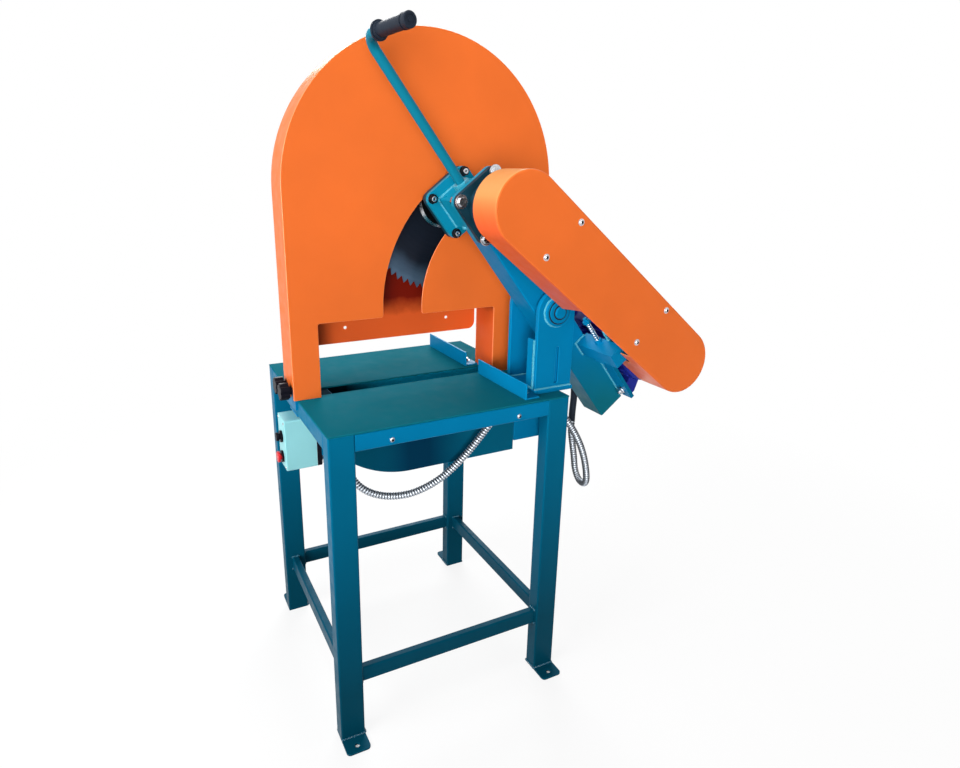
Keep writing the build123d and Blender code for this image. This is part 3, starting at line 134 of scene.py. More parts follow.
class SawColours(bpy.types.PropertyGroup):
    """Colours of the paints and plastics"""
    blue: colour_prop("Blue enamel", "Swing arm and the top of the stand", (0.001, 0.195, 0.410))
    # Painted shade: a darker copy of the blue enamel for the legs, rails and stretchers, which get less light than
    # the arm
    shaded_stand_blue: colour_prop(
        "Stand enamel", "Legs, end rails and stretchers", (0.001, 0.150, 0.288))
    # Painted shade: the darker blue that the stand's paint turns to near the floor, where less light falls
    low_shade_blue: colour_prop(
        "Dusty blue", "Blue enamel of the stand near the floor", (0.001, 0.056, 0.096))
    block_blue: colour_prop("Block enamel", "Spindle block", (0.004, 0.235, 0.370))
    handle_blue: colour_prop("Handle enamel", "Handle bar", (0.005, 0.175, 0.265))
    # Painted shade: the chute's enamel is a darker copy of the blue, in shade under the table, and darker still
    # half way along
    shaded_chute_blue: colour_prop("Chute enamel", "Sawdust chute", (0.002, 0.118, 0.205))
    chute_shade: colour_prop("Dull chute", "Middle of the sawdust chute", (0.001, 0.034, 0.078))
    table: colour_prop("Table enamel", "Table plates", (0.004, 0.140, 0.192))
    # Painted highlight and painted light: the paler rim and the redder underside of the belt guard
    belt_rim: colour_prop("Rim enamel", "Rim of the belt guard", (0.68, 0.30, 0.100))
    lit_belt_under: colour_prop("Underside enamel", "Underside of the belt guard", (0.90, 0.140, 0.040))
    # Painted highlight: the weld beads are a lighter blue than the enamel round them
    weld: colour_prop("Weld enamel", "Weld beads of the stand and the arm", (0.05, 0.37, 0.50))
    orange: colour_prop("Orange enamel", "Blade guard and belt guard", (0.76, 0.148, 0.025))
    # Painted shade: a darker, redder copy of the orange for the inside of the blade guard
    shaded_inner_orange: colour_prop(
        "Inner orange", "Rear panel and leg liner of the blade guard", (0.78, 0.112, 0.020))
    # Pitch and painted shade: the dark red on the inner faces of the blade guard
    pitch: colour_prop("Pitch", "Stain inside the blade guard", (0.19, 0.008, 0.002))
    casting: colour_prop("Casting paint", "Bearing housings", (0.006, 0.035, 0.055))
    motor: colour_prop("Motor paint", "Motor and terminal box", (0.012, 0.022, 0.26))
    pale: colour_prop("Pale plastic", "Control box cover", (0.29, 0.66, 0.70))
    red: colour_prop("Red plastic", "Stop button", (0.62, 0.012, 0.02))


class SawSizes(bpy.types.PropertyGroup):
    """Sizes of the conduit, the fasteners and the welds"""
    conduit_diameter: size_prop("Conduit diameter", "Outside of the ribbed conduit", 20.0)
    rib_pitch: size_prop("Rib pitch", "Distance between the ribs of the conduit", 7.6)
    rib_depth: size_prop("Rib depth", "Depth of the grooves between the ribs", 2.0)
    foot_bolt_across: size_prop("Foot bolt head", "Across the flats of the foot bolts", 16.0)
    fence_bolt_across: size_prop("Fence bolt head", "Across the flats of the fence bolts", 13.0)
    cover_screw: size_prop("Cover screw", "Diameter of the belt guard's screw heads", 11.0)
    box_screw: size_prop("Box screw", "Diameter of the control box's screw heads", 6.5)
    weld_radius: size_prop("Weld size", "Radius of the weld beads", 3.8)
    weld_pitch: size_prop("Weld pitch", "Distance between the ripples of a weld", 3.6)
    thread_pitch: size_prop("Thread pitch", "Pitch of the tension screw", 1.5)


class SawStage(bpy.types.PropertyGroup):
    """Floor and lights"""
    floor: colour_prop("Floor", "Colour of the studio floor", (0.90, 0.90, 0.90))
    key_power: power_prop("Key light", "Power of the large soft light", 125)
    fill_power: power_prop("Fill light", "Power of the light near the camera", 26)
    top_power: power_prop("Top light", "Power of the light overhead", 36)
    back_power: power_prop("Back light", "Power of the light behind the guard", 85)
    ambient: bpy.props.FloatProperty(
        name="Ambient", description="Strength of the light all round", default=0.2, min=0)


# Node helpers

def socket_of(sockets, key):
    """Socket by its number, its identifier or its name."""
    if isinstance(key, int):
        return sockets[key]
    for socket in sockets:
        if socket.identifier == key:
            return socket
    return sockets[key]


def set_inputs(tree, node, inputs):
    """Inputs of a node, each linked to another node's output or set to a constant."""
    for key, value in inputs.items():
        socket = socket_of(node.inputs, key)
        if isinstance(value, bpy.types.NodeSocket):
            tree.links.new(value, socket)
        else:
            socket.default_value = value


def add_node(tree, kind, inputs=None, **settings):
    """New node with its settings and inputs."""
    node = tree.nodes.new(kind)
    for key, value in settings.items():
        setattr(node, key, value)
    set_inputs(tree, node, inputs or {})
    return node


def made(tree, kind, inputs=None, output=0, **settings):
    """One output of a new node."""
    return add_node(tree, kind, inputs, **settings).outputs[output]


def math_node(tree, operation, a, b=0.0):
    """Output of a math node."""
    return made(tree, "ShaderNodeMath", {0: a, 1: b}, operation=operation)


def plus(tree, a, b):
    """Sum of two values."""
    return math_node(tree, "ADD", a, b)


def minus(tree, a, b):
    """Difference of two values."""
    return math_node(tree, "SUBTRACT", a, b)


def times(tree, a, b):
    """Product of two values."""
    return math_node(tree, "MULTIPLY", a, b)


def over(tree, a, b):
    """Quotient of two values."""
    return math_node(tree, "DIVIDE", a, b)


def absolute(tree, a):
    """Value without its sign."""
    return math_node(tree, "ABSOLUTE", a)


def vector_node(tree, operation, a, b=None):
    """Output of a vector math node, a number where the operation gives one."""
    output = "Value" if operation in ("DOT_PRODUCT", "LENGTH", "DISTANCE") else "Vector"
    inputs = {0: a} if b is None else {0: a, 1: b}
    return made(tree, "ShaderNodeVectorMath", inputs, output, operation=operation)


def spread(tree, value, low, high, to_low=0.0, to_high=1.0):
    """Value of one range spread over another, and held at its ends."""
    return made(tree, "ShaderNodeMapRange", {
        "Value": value, "From Min": low, "From Max": high, "To Min": to_low, "To Max": to_high})


def rib_wave(tree, along, pitch):
    """Wave along the conduit: one in the grooves, nothing on the ribs."""
    phase = times(tree, over(tree, along, pitch), pi)
    return absolute(tree, math_node(tree, "COSINE", phase))


# Materials

def new_material(name):
    """Material with an empty Principled shader."""
    material = bpy.data.materials.new(name)
    material.use_nodes = True
    return material, material.node_tree, material.node_tree.nodes["Principled BSDF"]


def place_of(tree):
    """Object coordinates of a point."""
    return made(tree, "ShaderNodeTexCoord", output="Object")


def facing_of(tree):
    """Normal of a point, in the object's own frame."""
    return made(tree, "ShaderNodeTexCoord", output="Normal")


def axes(tree, vector):
    """X, Y and Z of a vector."""
    return add_node(tree, "ShaderNodeSeparateXYZ", {0: vector}).outputs


def object_noise(tree, scale, detail):
    """Noise over the piece's own coordinates, with a scale per metre."""
    return made(tree, "ShaderNodeTexNoise", {
        "Vector": place_of(tree), "Scale": scale, "Detail": detail})


def between(tree, noise, low, high):
    """Noise spread over a range of values."""
    return spread(tree, noise, NOISE_LOW, NOISE_HIGH, low, high)


def tint(tree, factor, first, second):
    """Colour between two by a factor, each a plain tone or another node's colour."""
    tones = [tone if isinstance(tone, bpy.types.NodeSocket) else (*tone, 1)
             for tone in (first, second)]
    return made(tree, "ShaderNodeMix", {0: factor, 6: tones[0], 7: tones[1]}, 2, data_type="RGBA")


def shaded(colour, factor):
    """Colour made darker or lighter."""
    return tuple(min(1.0, channel * factor) for channel in colour)


def cloudy(tree, colour, scale, detail, darkest, lightest):
    """Colour that wavers between a darker and a lighter shade."""
    cloud = between(tree, object_noise(tree, scale, detail), 0.0, 1.0)
    return tint(tree, cloud, shaded(colour, darkest), shaded(colour, lightest))


def uneven(tree, roughness, scale, detail, smoother, rougher):
    """Roughness that wavers about its mean."""
    noise = object_noise(tree, scale, detail)
    return between(tree, noise, roughness - smoother, roughness + rougher)


def bumps(tree, height, strength, depth):
    """Normal of a skin with a height, its depth in millimetres."""
    return made(tree, "ShaderNodeBump", {
        "Strength": strength, "Distance": depth * MM, "Height": height})


def grain_bumps(tree, scale, detail, strength, depth):
    """Normal of a grainy skin, its depth in millimetres."""
    return bumps(tree, object_noise(tree, scale, detail), strength, depth)


def stained_and_shaded_inside(tree, clean, stain):
    """Paint of a guard panel, darkened on its inner face above the window by pitch and by painted shade."""
    margin, drift_height = 0.3 * MM, 30 * MM
    stain_and_shade_from, stain_and_shade_full = WINDOW_TOP - 36 * MM, WINDOW_TOP + 12 * MM
    x, _, z = axes(tree, place_of(tree))
    from_middle = absolute(tree, minus(tree, x, GUARD_MIDDLE))
    inner = math_node(tree, "LESS_THAN", from_middle, GUARD_HIGH.x - GUARD_MIDDLE + margin)
    drift = times(tree, object_noise(tree, scale=30.0, detail=4.0), drift_height)
    above = spread(tree, minus(tree, z, drift), stain_and_shade_from, stain_and_shade_full)
    return tint(tree, times(tree, inner, above), clean, stain)


def shaded_below(tree, clean, shaded_low, low, high):
    """Paint that grows darker, as painted shade, from one height down to another."""
    drift_height = 160 * MM
    height = axes(tree, place_of(tree))[2]
    drift = times(tree, object_noise(tree, scale=5.0, detail=4.0), drift_height)
    return tint(tree, spread(tree, plus(tree, height, drift), low, high), shaded_low, clean)


def shaded_middle(tree, clean, dull):
    """Paint of the chute, darker half way along as painted shade."""
    drift_length, dull_within, clean_beyond = 20 * MM, 30 * MM, 160 * MM
    along = axes(tree, place_of(tree))[1]
    drift = times(tree, object_noise(tree, scale=6.0, detail=3.0), drift_length)
    from_middle = absolute(tree, minus(tree, along, drift))
    return tint(tree, spread(tree, from_middle, dull_within, clean_beyond), dull, clean)


def highlit_rim(tree, clean, pale, under):
    """Paint of the belt guard's rim, paler at the end that faces up as a painted highlight, and redder below as
    painted light.
    """
    facing = facing_of(tree)
    toned = clean
    for way, low, high, tone in ((-ALONG, 0.1, 0.9, pale), (-ACROSS, 0.55, 1.0, under)):
        turned = vector_node(tree, "DOT_PRODUCT", facing, tuple(way))
        toned = tint(tree, spread(tree, turned, low, high), toned, tone)
    return toned


def enamel(name, colour, roughness, peel, specular, sheen, layer):
    """Sprayed gloss paint: faint cloudiness, orange-peel skin, patches of uneven roughness and, where
    it has one, a layer given as its function and tones, which paints in shade, a highlight, or pitch with shade."""
    material, tree, shader = new_material(name)
    paint = cloudy(tree, colour, scale=4.0, detail=3.0, darkest=0.93, lightest=1.05)
    if layer:
        lay, *tones = layer
        paint = lay(tree, paint, *tones)
    set_inputs(tree, shader, {
        "Base Color": paint,
        "Roughness": uneven(tree, roughness, scale=38.0, detail=6.0, smoother=0.07, rougher=0.09),
        "Normal": grain_bumps(tree, scale=420.0, detail=2.0, strength=peel, depth=0.6),
        "Specular IOR Level": specular})
    if sheen:
        set_inputs(tree, shader, {"Specular Tint": (*sheen, 1)})
    return material


def shadowed_wall(name, dark, light, front, rear):
    """Dull wall of the sawdust chute, with painted shade dark at its front end and a painted light blue further
    back.
    """
    material, tree, shader = new_material(name)
    rise = spread(tree, axes(tree, place_of(tree))[1], front, rear)
    set_inputs(tree, shader, {
        "Base Color": tint(tree, rise, dark, light), "Roughness": 0.6, "Specular IOR Level": 0.002})
    return material


def casting(name, colour):
    """Painted casting with a sandy skin."""
    material, tree, shader = new_material(name)
    set_inputs(tree, shader, {
        "Base Color": cloudy(tree, colour, scale=24.0, detail=5.0, darkest=0.75, lightest=1.25),
        "Normal": grain_bumps(tree, scale=900.0, detail=4.0, strength=0.35, depth=0.6),
        "Roughness": 0.45,
        "Specular IOR Level": 0.1})
    return material


def bare_metal(name, colour, roughness):
    """Plated or rolled metal with a blotchy sheen."""
    material, tree, shader = new_material(name)
    set_inputs(tree, shader, {
        "Base Color": cloudy(tree, colour, scale=160.0, detail=4.0, darkest=0.82, lightest=1.1),
        "Roughness": uneven(tree, roughness, scale=240.0, detail=3.0, smoother=0.08, rougher=0.08),
        "Normal": grain_bumps(tree, scale=700.0, detail=2.0, strength=0.08, depth=0.3),
        "Metallic": 1.0})
    return material


def tool_marks(tree, along):
    """Fine parallel scratches at a distance along or about something."""
    return made(tree, "ShaderNodeTexNoise", {"W": along, "Scale": 1600.0, "Detail": 3.0},
                noise_dimensions="1D")


def turned_metal(name, colour, roughness):
    """Machined steel with fine tool marks along X."""
    material, tree, shader = new_material(name)
    marks_share, smear_share = 0.35, 0.65
    darkest, lightest = 0.78, 1.15
    smoother, rougher = 0.06, 0.08
    marks = tool_marks(tree, axes(tree, place_of(tree))[0])
    smear = object_noise(tree, scale=9.0, detail=4.0)
    both = plus(tree, times(tree, marks, marks_share), times(tree, smear, smear_share))
    shade = between(tree, both, 0.0, 1.0)
    set_inputs(tree, shader, {
        "Base Color": tint(tree, shade, shaded(colour, darkest), shaded(colour, lightest)),
        "Roughness": between(tree, both, roughness - smoother, roughness + rougher),
        "Normal": bumps(tree, marks, strength=0.06, depth=0.2),
        "Metallic": 1.0})
    return material


def ground_blade(name, dull, painted_sheen):
    """Saw steel ground in rings: dark inside with pitch and painted shade, lighter towards the teeth with a
    painted sheen.
    """
    material, tree, shader = new_material(name)
    in_blade_plane = (0, 1, 1)
    smear_width, pitch_within, clean_beyond = 30 * MM, 0.84, 1.06
    smoothest, roughest = 0.26, 0.40
    away = vector_node(tree, "SUBTRACT", place_of(tree), tuple(SPINDLE))
    reach = vector_node(tree, "LENGTH", vector_node(tree, "MULTIPLY", away, in_blade_plane))
    marks = tool_marks(tree, reach)
    smear = plus(tree, object_noise(tree, scale=16.0, detail=5.0), marks)
    worn = plus(tree, reach, times(tree, smear, smear_width))
    clean = spread(tree, worn, BLADE_RADIUS * pitch_within, BLADE_RADIUS * clean_beyond)
    set_inputs(tree, shader, {
        "Base Color": tint(tree, clean, dull, painted_sheen),
        "Roughness": between(tree, marks, smoothest, roughest),
        "Normal": bumps(tree, marks, strength=0.06, depth=0.2),
        "Metallic": 0.35,
        "Specular IOR Level": 0.15})
    return material


def moulding(name, colour, roughness, grain, strength, specular=0.12):
    """Moulded plastic or rubber with a fine spark-eroded grain."""
    material, tree, shader = new_material(name)
    set_inputs(tree, shader, {
        "Base Color": cloudy(tree, colour, scale=12.0, detail=3.0, darkest=0.96, lightest=1.04),
        "Roughness": uneven(tree, roughness, scale=180.0, detail=3.0, smoother=0.06, rougher=0.08),
        "Normal": grain_bumps(tree, scale=grain, detail=2.0, strength=strength, depth=0.3),
        "Specular IOR Level": specular})
    return material


def ribbed_metal(name, colour, pitch):
    """Wound metal strip, with painted shade in the grooves between its ribs and over the faces
    turned up and down where it runs level and turned sideways where it hangs."""
    material, tree, shader = new_material(name)
    # Painted shade: the grooves go near black, darkest on faces turned up or down along the level run and sideways
    # on the hang
    hangs_from, hangs_fully = 380 * MM, 440 * MM
    shaded_side = (0.5, 0.866, 0.0)
    sharpness, rib_fade, blotch_share, groove_shade = 2.4, 0.45, 0.1, 0.015
    smoothest, roughest = 0.2, 0.34
    along = made(tree, "ShaderNodeAttribute", output="Fac", attribute_name="along")
    wave = rib_wave(tree, along, pitch)
    groove = math_node(tree, "POWER", wave, sharpness)
    facing = facing_of(tree)
    hanging = spread(tree, axes(tree, place_of(tree))[1], hangs_from, hangs_fully)
    upward = absolute(tree, axes(tree, facing)[2])
    sideways = absolute(tree, vector_node(tree, "DOT_PRODUCT", facing, shaded_side))
    shade_facing = made(tree, "ShaderNodeMix", {0: hanging, 2: upward, 3: sideways}, data_type="FLOAT")
    painted_shade = spread(tree, shade_facing, low=0.15, high=0.6, to_low=0.6, to_high=1.0)
    edge = spread(tree, shade_facing, low=0.15, high=0.55, to_high=0.97)
    teeth = math_node(tree, "MINIMUM", 1.0, plus(tree, times(tree, hanging, rib_fade), wave))
    blotch = times(tree, object_noise(tree, scale=90.0, detail=3.0), blotch_share)
    ribs = plus(tree, times(tree, groove, painted_shade), blotch)
    dark = math_node(tree, "MAXIMUM", ribs, times(tree, edge, teeth))
    set_inputs(tree, shader, {
        "Base Color": tint(tree, dark, colour, shaded(colour, groove_shade)),
        "Metallic": minus(tree, 1.0, dark),
        "Roughness": between(
            tree, object_noise(tree, scale=240.0, detail=3.0), smoothest, roughest),
        "Specular IOR Level": 0.02,
        "Specular Tint": (0.30, 0.34, 0.42, 1)})
    return material


def shown_white(tree):
    """One for rays that show the surroundings: to the camera, in a reflection or through
    something clear."""
    path = add_node(tree, "ShaderNodeLightPath").outputs
    mirrored = math_node(tree, "MAXIMUM", path["Is Glossy Ray"], path["Is Transmission Ray"])
    return math_node(tree, "MAXIMUM", path["Is Camera Ray"], mirrored)


def pale_floor(name, colour):
    """Floor that shows white with a faint shadow, is dim to other rays, and is plain inside the
    anchor holes of the feet."""
    material, tree, shader = new_material(name)
    anchor_hole, hole_reach = (0.315, 0.277, 0.0), 12 * MM
    dim_grey = (0.32, 0.32, 0.32, 1)
    set_inputs(tree, shader, {
        "Base Color": cloudy(tree, colour, scale=1.5, detail=2.0, darkest=0.99, lightest=1.01),
        "Roughness": 0.9,
        "Specular IOR Level": 0.1})
    glow = made(tree, "ShaderNodeEmission", {"Color": WHITE, "Strength": 1.0})
    dim = made(tree, "ShaderNodeBsdfDiffuse", {"Color": dim_grey})
    place = place_of(tree)
    away = vector_node(tree, "LENGTH", place)
    fade = spread(tree, away, low=0.8, high=2.4, to_low=0.84, to_high=1.0)
    from_hole = vector_node(tree, "DISTANCE", vector_node(tree, "ABSOLUTE", place), anchor_hole)
    white = times(tree, fade, math_node(tree, "GREATER_THAN", from_hole, hole_reach))
    lit = made(tree, "ShaderNodeMixShader", {0: white, 1: shader.outputs[0], 2: glow})
    blended = made(tree, "ShaderNodeMixShader", {0: shown_white(tree), 1: dim, 2: lit})
    set_inputs(tree, tree.nodes["Material Output"], {"Surface": blended})
    return material


FINISHES = {}


def paint_faces(node, finish, chosen):
    """Second finish on the chosen faces of a CAD node."""
    mesh = NODES[node].data
    mesh.materials.append(FINISHES[finish])
    for face in mesh.polygons:
        if chosen(face):
            face.material_index = len(mesh.materials) - 1


# Mesh helpers

def put_in_scene(name, data):
    """New object in the scene."""
    thing = bpy.data.objects.new(name, data)
    bpy.context.scene.collection.objects.link(thing)
    return thing


def add_modifier(piece, name, kind, **settings):
    """New modifier with its settings."""
    modifier = piece.modifiers.new(name, kind)
    for key, value in settings.items():
        setattr(modifier, key, value)
    return modifier


def evaluated_mesh(source):
    """Plain mesh of an object with its modifiers."""
    graph = bpy.context.evaluated_depsgraph_get()
    return bpy.data.meshes.new_from_object(source.evaluated_get(graph), depsgraph=graph)


def run_tree(name, tree, data, values):
    """Plain mesh that a node tree makes from a mesh or curve."""
    source = put_in_scene(name + ".source", data)
    modifier = add_modifier(source, tree.name, "NODES", node_group=tree)
    for item in tree.interface.items_tree:
        if item.item_type == "SOCKET" and item.in_out == "INPUT" and item.name in values:
            modifier[item.identifier] = values[item.name]
    mesh = evaluated_mesh(source)
    source.modifiers.remove(modifier)
    bpy.data.objects.remove(source)
    mesh.name = name
    return mesh


def ride_smooth(name, mesh, crease, body):
    """Piece of a finished mesh, smooth up to a crease in degrees, riding on a body."""
    mesh.shade_smooth()
    mesh.set_sharp_from_angle(angle=radians(crease))
    piece = put_in_scene(name, mesh)
    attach(piece, body)


def point_mesh(name, places):
    """Mesh of loose points that each know which way they face."""
    mesh = bpy.data.meshes.new(name)
    mesh.from_pydata([place for place, way in places], [], [])
    facing = mesh.attributes.new("facing", "FLOAT_VECTOR", "POINT")
    facing.data.foreach_set("vector", [value for place, way in places for value in way])
    return mesh


def line_mesh(name, lines):
    """Mesh of open or closed runs of edges."""
    vertices = []
    edges = []
    for line in lines:
        start = len(vertices)
        vertices += line
        edges += [(start + i, start + i + 1) for i in range(len(line) - 1)]
    mesh = bpy.data.meshes.new(name)
    mesh.from_pydata(vertices, edges, [])
    return mesh


def circle_line(centre, radius):
    """Closed run of points round an axis along X."""
    turns = [2 * pi * i / CIRCLE_STEPS for i in range(CIRCLE_STEPS + 1)]
    return [centre + Vector((0, radius * cos(turn), radius * sin(turn))) for turn in turns]


def route_curve(name, points, kind):
    """Open curve through or near the points."""
    data = bpy.data.curves.new(name, "CURVE")
    data.dimensions = "3D"
    data.resolution_u = 24
    spline = data.splines.new(kind)
    spline.points.add(len(points) - 1)
    for control, point in zip(spline.points, points):
        control.co = (*point, 1)
    if kind == "NURBS":
        spline.order_u = 3
        spline.use_endpoint_u = True
    return data


def path_length(path):
    """Length of a run of points."""
    return sum((after - before).length for before, after in zip(path, path[1:]))


def nearest(path, place):
    """Index of the path's point that lies nearest to a place."""
    return min(range(len(path)), key=lambda i: (path[i] - place).length)


def fasten(name, tree, body, slot, places, sizes, finish=None):
    """Group of like fasteners on one body, with their sizes in metres."""
    values = {"Material": FINISHES[finish or slot], "Socket Material": FINISHES["black_oxide"]}
    mesh = run_tree(name, tree, point_mesh(name + ".points", places), {**values, **sizes})
    ride_smooth(name, mesh, FASTENER_CREASE, body)


# Node trees of what repeats

def new_tree(name, sizes, seed=None, materials=("Material",)):
    """Node tree with a geometry input, inputs for its sizes in millimetres, its seed and its
    materials, and a geometry output."""
    tree = bpy.data.node_groups.new(name, "GeometryNodeTree")
    inputs = [("Geometry", "Geometry", None)]
    inputs += [(label, "Float", size * MM) for label, size in sizes.items()]
    inputs += [("Seed", "Int", seed)] if seed else []
    inputs += [(label, "Material", None) for label in materials]
    for label, kind, default in inputs:
        socket = tree.interface.new_socket(label, in_out="INPUT", socket_type="NodeSocket" + kind)
        if default is not None:
            socket.default_value = default
    tree.interface.new_socket("Geometry", in_out="OUTPUT", socket_type="NodeSocketGeometry")
    source = tree.nodes.new("NodeGroupInput")
    target = tree.nodes.new("NodeGroupOutput")
    return tree, source.outputs, target.inputs["Geometry"]


def named_attribute(tree, name, kind):
    """Value of a stored attribute."""
    return made(tree, "GeometryNodeInputNamedAttribute", {"Name": name}, data_type=kind)


def cylinder(tree, sides, radius, depth):
    """Cylinder about the origin."""
    return made(tree, "GeometryNodeMeshCylinder", {
        "Vertices": sides, "Radius": radius, "Depth": depth})


def cone(tree, sides, bottom, top, depth):
    """Cone that stands on the origin."""
    return made(tree, "GeometryNodeMeshCone", {
        "Vertices": sides, "Radius Bottom": bottom, "Radius Top": top, "Depth": depth})


def moved(tree, geometry, z):
    """Geometry lifted along Z."""
    lift = made(tree, "ShaderNodeCombineXYZ", {"Z": z})
    return made(tree, "GeometryNodeTransform", {"Geometry": geometry, "Translation": lift})


def joined(tree, *parts):
    """Several geometries as one."""
    join = add_node(tree, "GeometryNodeJoinGeometry")
    for part in parts:
        tree.links.new(part, join.inputs[0])
    return join.outputs[0]


def swept(tree, curve, section, **inputs):
    """Mesh of a section drawn along a curve."""
    return made(tree, "GeometryNodeCurveToMesh", {
        "Curve": curve, "Profile Curve": section, **inputs})


def placed_on_points(tree, source, instance):
    """Copies of a fastener on points, each along its own facing and turned by a seeded angle."""
    facing = named_attribute(tree, "facing", "FLOAT_VECTOR")
    aligned = made(tree, "FunctionNodeAlignRotationToVector", {"Vector": facing}, axis="Z")
    spin = made(tree, "FunctionNodeRandomValue", {
        "Min_001": 0.0, "Max_001": 2 * pi, "Seed": source["Seed"]}, 1, data_type="FLOAT")
    turn = made(tree, "FunctionNodeEulerToRotation", {
        0: made(tree, "ShaderNodeCombineXYZ", {"Z": spin})})
    turned = made(tree, "FunctionNodeRotateRotation", {"Rotation": aligned, "Rotate By": turn},
                  rotation_space="LOCAL")
    return made(tree, "GeometryNodeInstanceOnPoints", {
        "Points": source["Geometry"], "Instance": instance, "Rotation": turned})


def close_tree(tree, geometry, target, material, chosen=None, second=None):
    """Real geometry with its material at the end of a tree, and a second one where chosen."""
    real = made(tree, "GeometryNodeRealizeInstances", {0: geometry})
    painted = made(tree, "GeometryNodeSetMaterial", {"Geometry": real, "Material": material})
    if second:
        painted = made(tree, "GeometryNodeSetMaterial", {
            "Geometry": painted, "Selection": chosen, "Material": second})
    tree.links.new(painted, target)
    return tree


def hex_bolt_tree():
    """Hexagon head on a washer, with a chamfered crown and a thread end."""
    tree, source, target = new_tree("hex_bolt", {
        "Across": 16, "Height": 7, "Washer": 22, "Washer Height": 2, "Thread": 9,
        "Thread End": 1}, seed=3)
    flat_share, crown_share, crown_top, thread_tip = 0.8, 0.2, 0.86, 0.42
    thread_sides = 18
    height, base = source["Height"], source["Washer Height"]
    corner = times(tree, source["Across"], 1 / sqrt(3))
    flats = times(tree, height, flat_share)
    washer = cylinder(tree, WASHER_SIDES, times(tree, source["Washer"], 0.5), base)
    body = cylinder(tree, HEXAGON, corner, flats)
    crown = cone(tree, HEXAGON, corner, times(tree, corner, crown_top),
                 times(tree, height, crown_share))
    thread = cone(tree, thread_sides, times(tree, source["Thread"], 0.5),
                  times(tree, source["Thread"], thread_tip),
                  plus(tree, source["Thread End"], height))
    bolt = joined(
        tree,
        moved(tree, washer, times(tree, base, 0.5)),
        moved(tree, body, plus(tree, base, times(tree, flats, 0.5))),
        moved(tree, crown, plus(tree, base, flats)),
        moved(tree, thread, base))
    return close_tree(tree, placed_on_points(tree, source, bolt), target, source["Material"])


def socket_screw_tree():
    """Domed head with a dark hexagon socket, on a thin washer."""
    tree, source, target = new_tree("socket_screw", {
        "Diameter": 11, "Height": 3.5, "Washer": 15, "Washer Height": 1.2}, seed=5,
        materials=("Material", "Socket Material"))
    socket_share, cutter_share, floor_share, floor_depth = 0.66, 1.5, 0.3, 0.35
    height, base = source["Height"], source["Washer Height"]
    radius = times(tree, source["Diameter"], 0.5)
    ball = made(tree, "GeometryNodeMeshUVSphere", {"Segments": 24, "Rings": 12, "Radius": radius})
    flatten = made(tree, "ShaderNodeCombineXYZ", {
        "X": 1.0, "Y": 1.0, "Z": over(tree, height, radius)})
    dome = made(tree, "GeometryNodeTransform", {"Geometry": ball, "Scale": flatten})
    socket_radius = times(tree, radius, socket_share)
    cutter = cylinder(tree, HEXAGON, socket_radius, times(tree, height, cutter_share))
    head = made(tree, "GeometryNodeMeshBoolean", {
        "Mesh 1": dome, "Mesh 2": moved(tree, cutter, height)}, operation="DIFFERENCE",
        solver="EXACT")
    shadow = made(tree, "GeometryNodeStoreNamedAttribute", {
        "Geometry": cylinder(tree, HEXAGON, socket_radius, times(tree, height, floor_depth)),
        "Name": "socket", "Value": True}, data_type="BOOLEAN", domain="FACE")
    washer = cylinder(tree, WASHER_SIDES, times(tree, source["Washer"], 0.5), base)
    screw = joined(
        tree,
        moved(tree, head, base),
        moved(tree, shadow, plus(tree, base, times(tree, height, floor_share))),
        moved(tree, washer, times(tree, base, 0.5)))
    return close_tree(tree, placed_on_points(tree, source, screw), target, source["Material"],
                      named_attribute(tree, "socket", "BOOLEAN"), source["Socket Material"])


def ring_tree():
    """Flat ring square to each point's facing."""
    tree, source, target = new_tree("flat_ring", {"Outer": 30, "Inner": 12, "Height": 2}, seed=2)
    fillet_share = 0.3
    height = source["Height"]
    middle = times(tree, plus(tree, source["Outer"], source["Inner"]), 0.25)
    width = times(tree, minus(tree, source["Outer"], source["Inner"]), 0.5)
    circle = made(tree, "GeometryNodeCurvePrimitiveCircle", {"Resolution": 40, "Radius": middle})
    upright = made(tree, "GeometryNodeSetCurveNormal", {0: circle}, mode="Z_UP")
    section = made(tree, "GeometryNodeCurvePrimitiveQuadrilateral", {
        "Width": width, "Height": height})
    soft = made(tree, "GeometryNodeFilletCurve", {
        "Curve": section, "Count": 2, "Radius": times(tree, height, fillet_share)}, mode="POLY")
    lifted = moved(tree, swept(tree, upright, soft), times(tree, height, 0.5))
    return close_tree(tree, placed_on_points(tree, source, lifted), target, source["Material"])


def thread_tree():
    """Screw thread wound about each point's facing."""
    tree, source, target = new_tree("screw_thread", {
        "Diameter": 10, "Pitch": 1.5, "Length": 50}, seed=1)
    ridge_share = 0.36
    radius = times(tree, source["Diameter"], 0.5)
    coil = made(tree, "GeometryNodeCurveSpiral", {
        "Resolution": 20, "Rotations": over(tree, source["Length"], source["Pitch"]),
        "Start Radius": radius, "End Radius": radius, "Height": source["Length"]})
    ridge = made(tree, "GeometryNodeCurvePrimitiveCircle", {
        "Resolution": 4, "Radius": times(tree, source["Pitch"], ridge_share)})
    wound = swept(tree, coil, ridge, **{"Fill Caps": True})
    return close_tree(tree, placed_on_points(tree, source, wound), target, source["Material"])


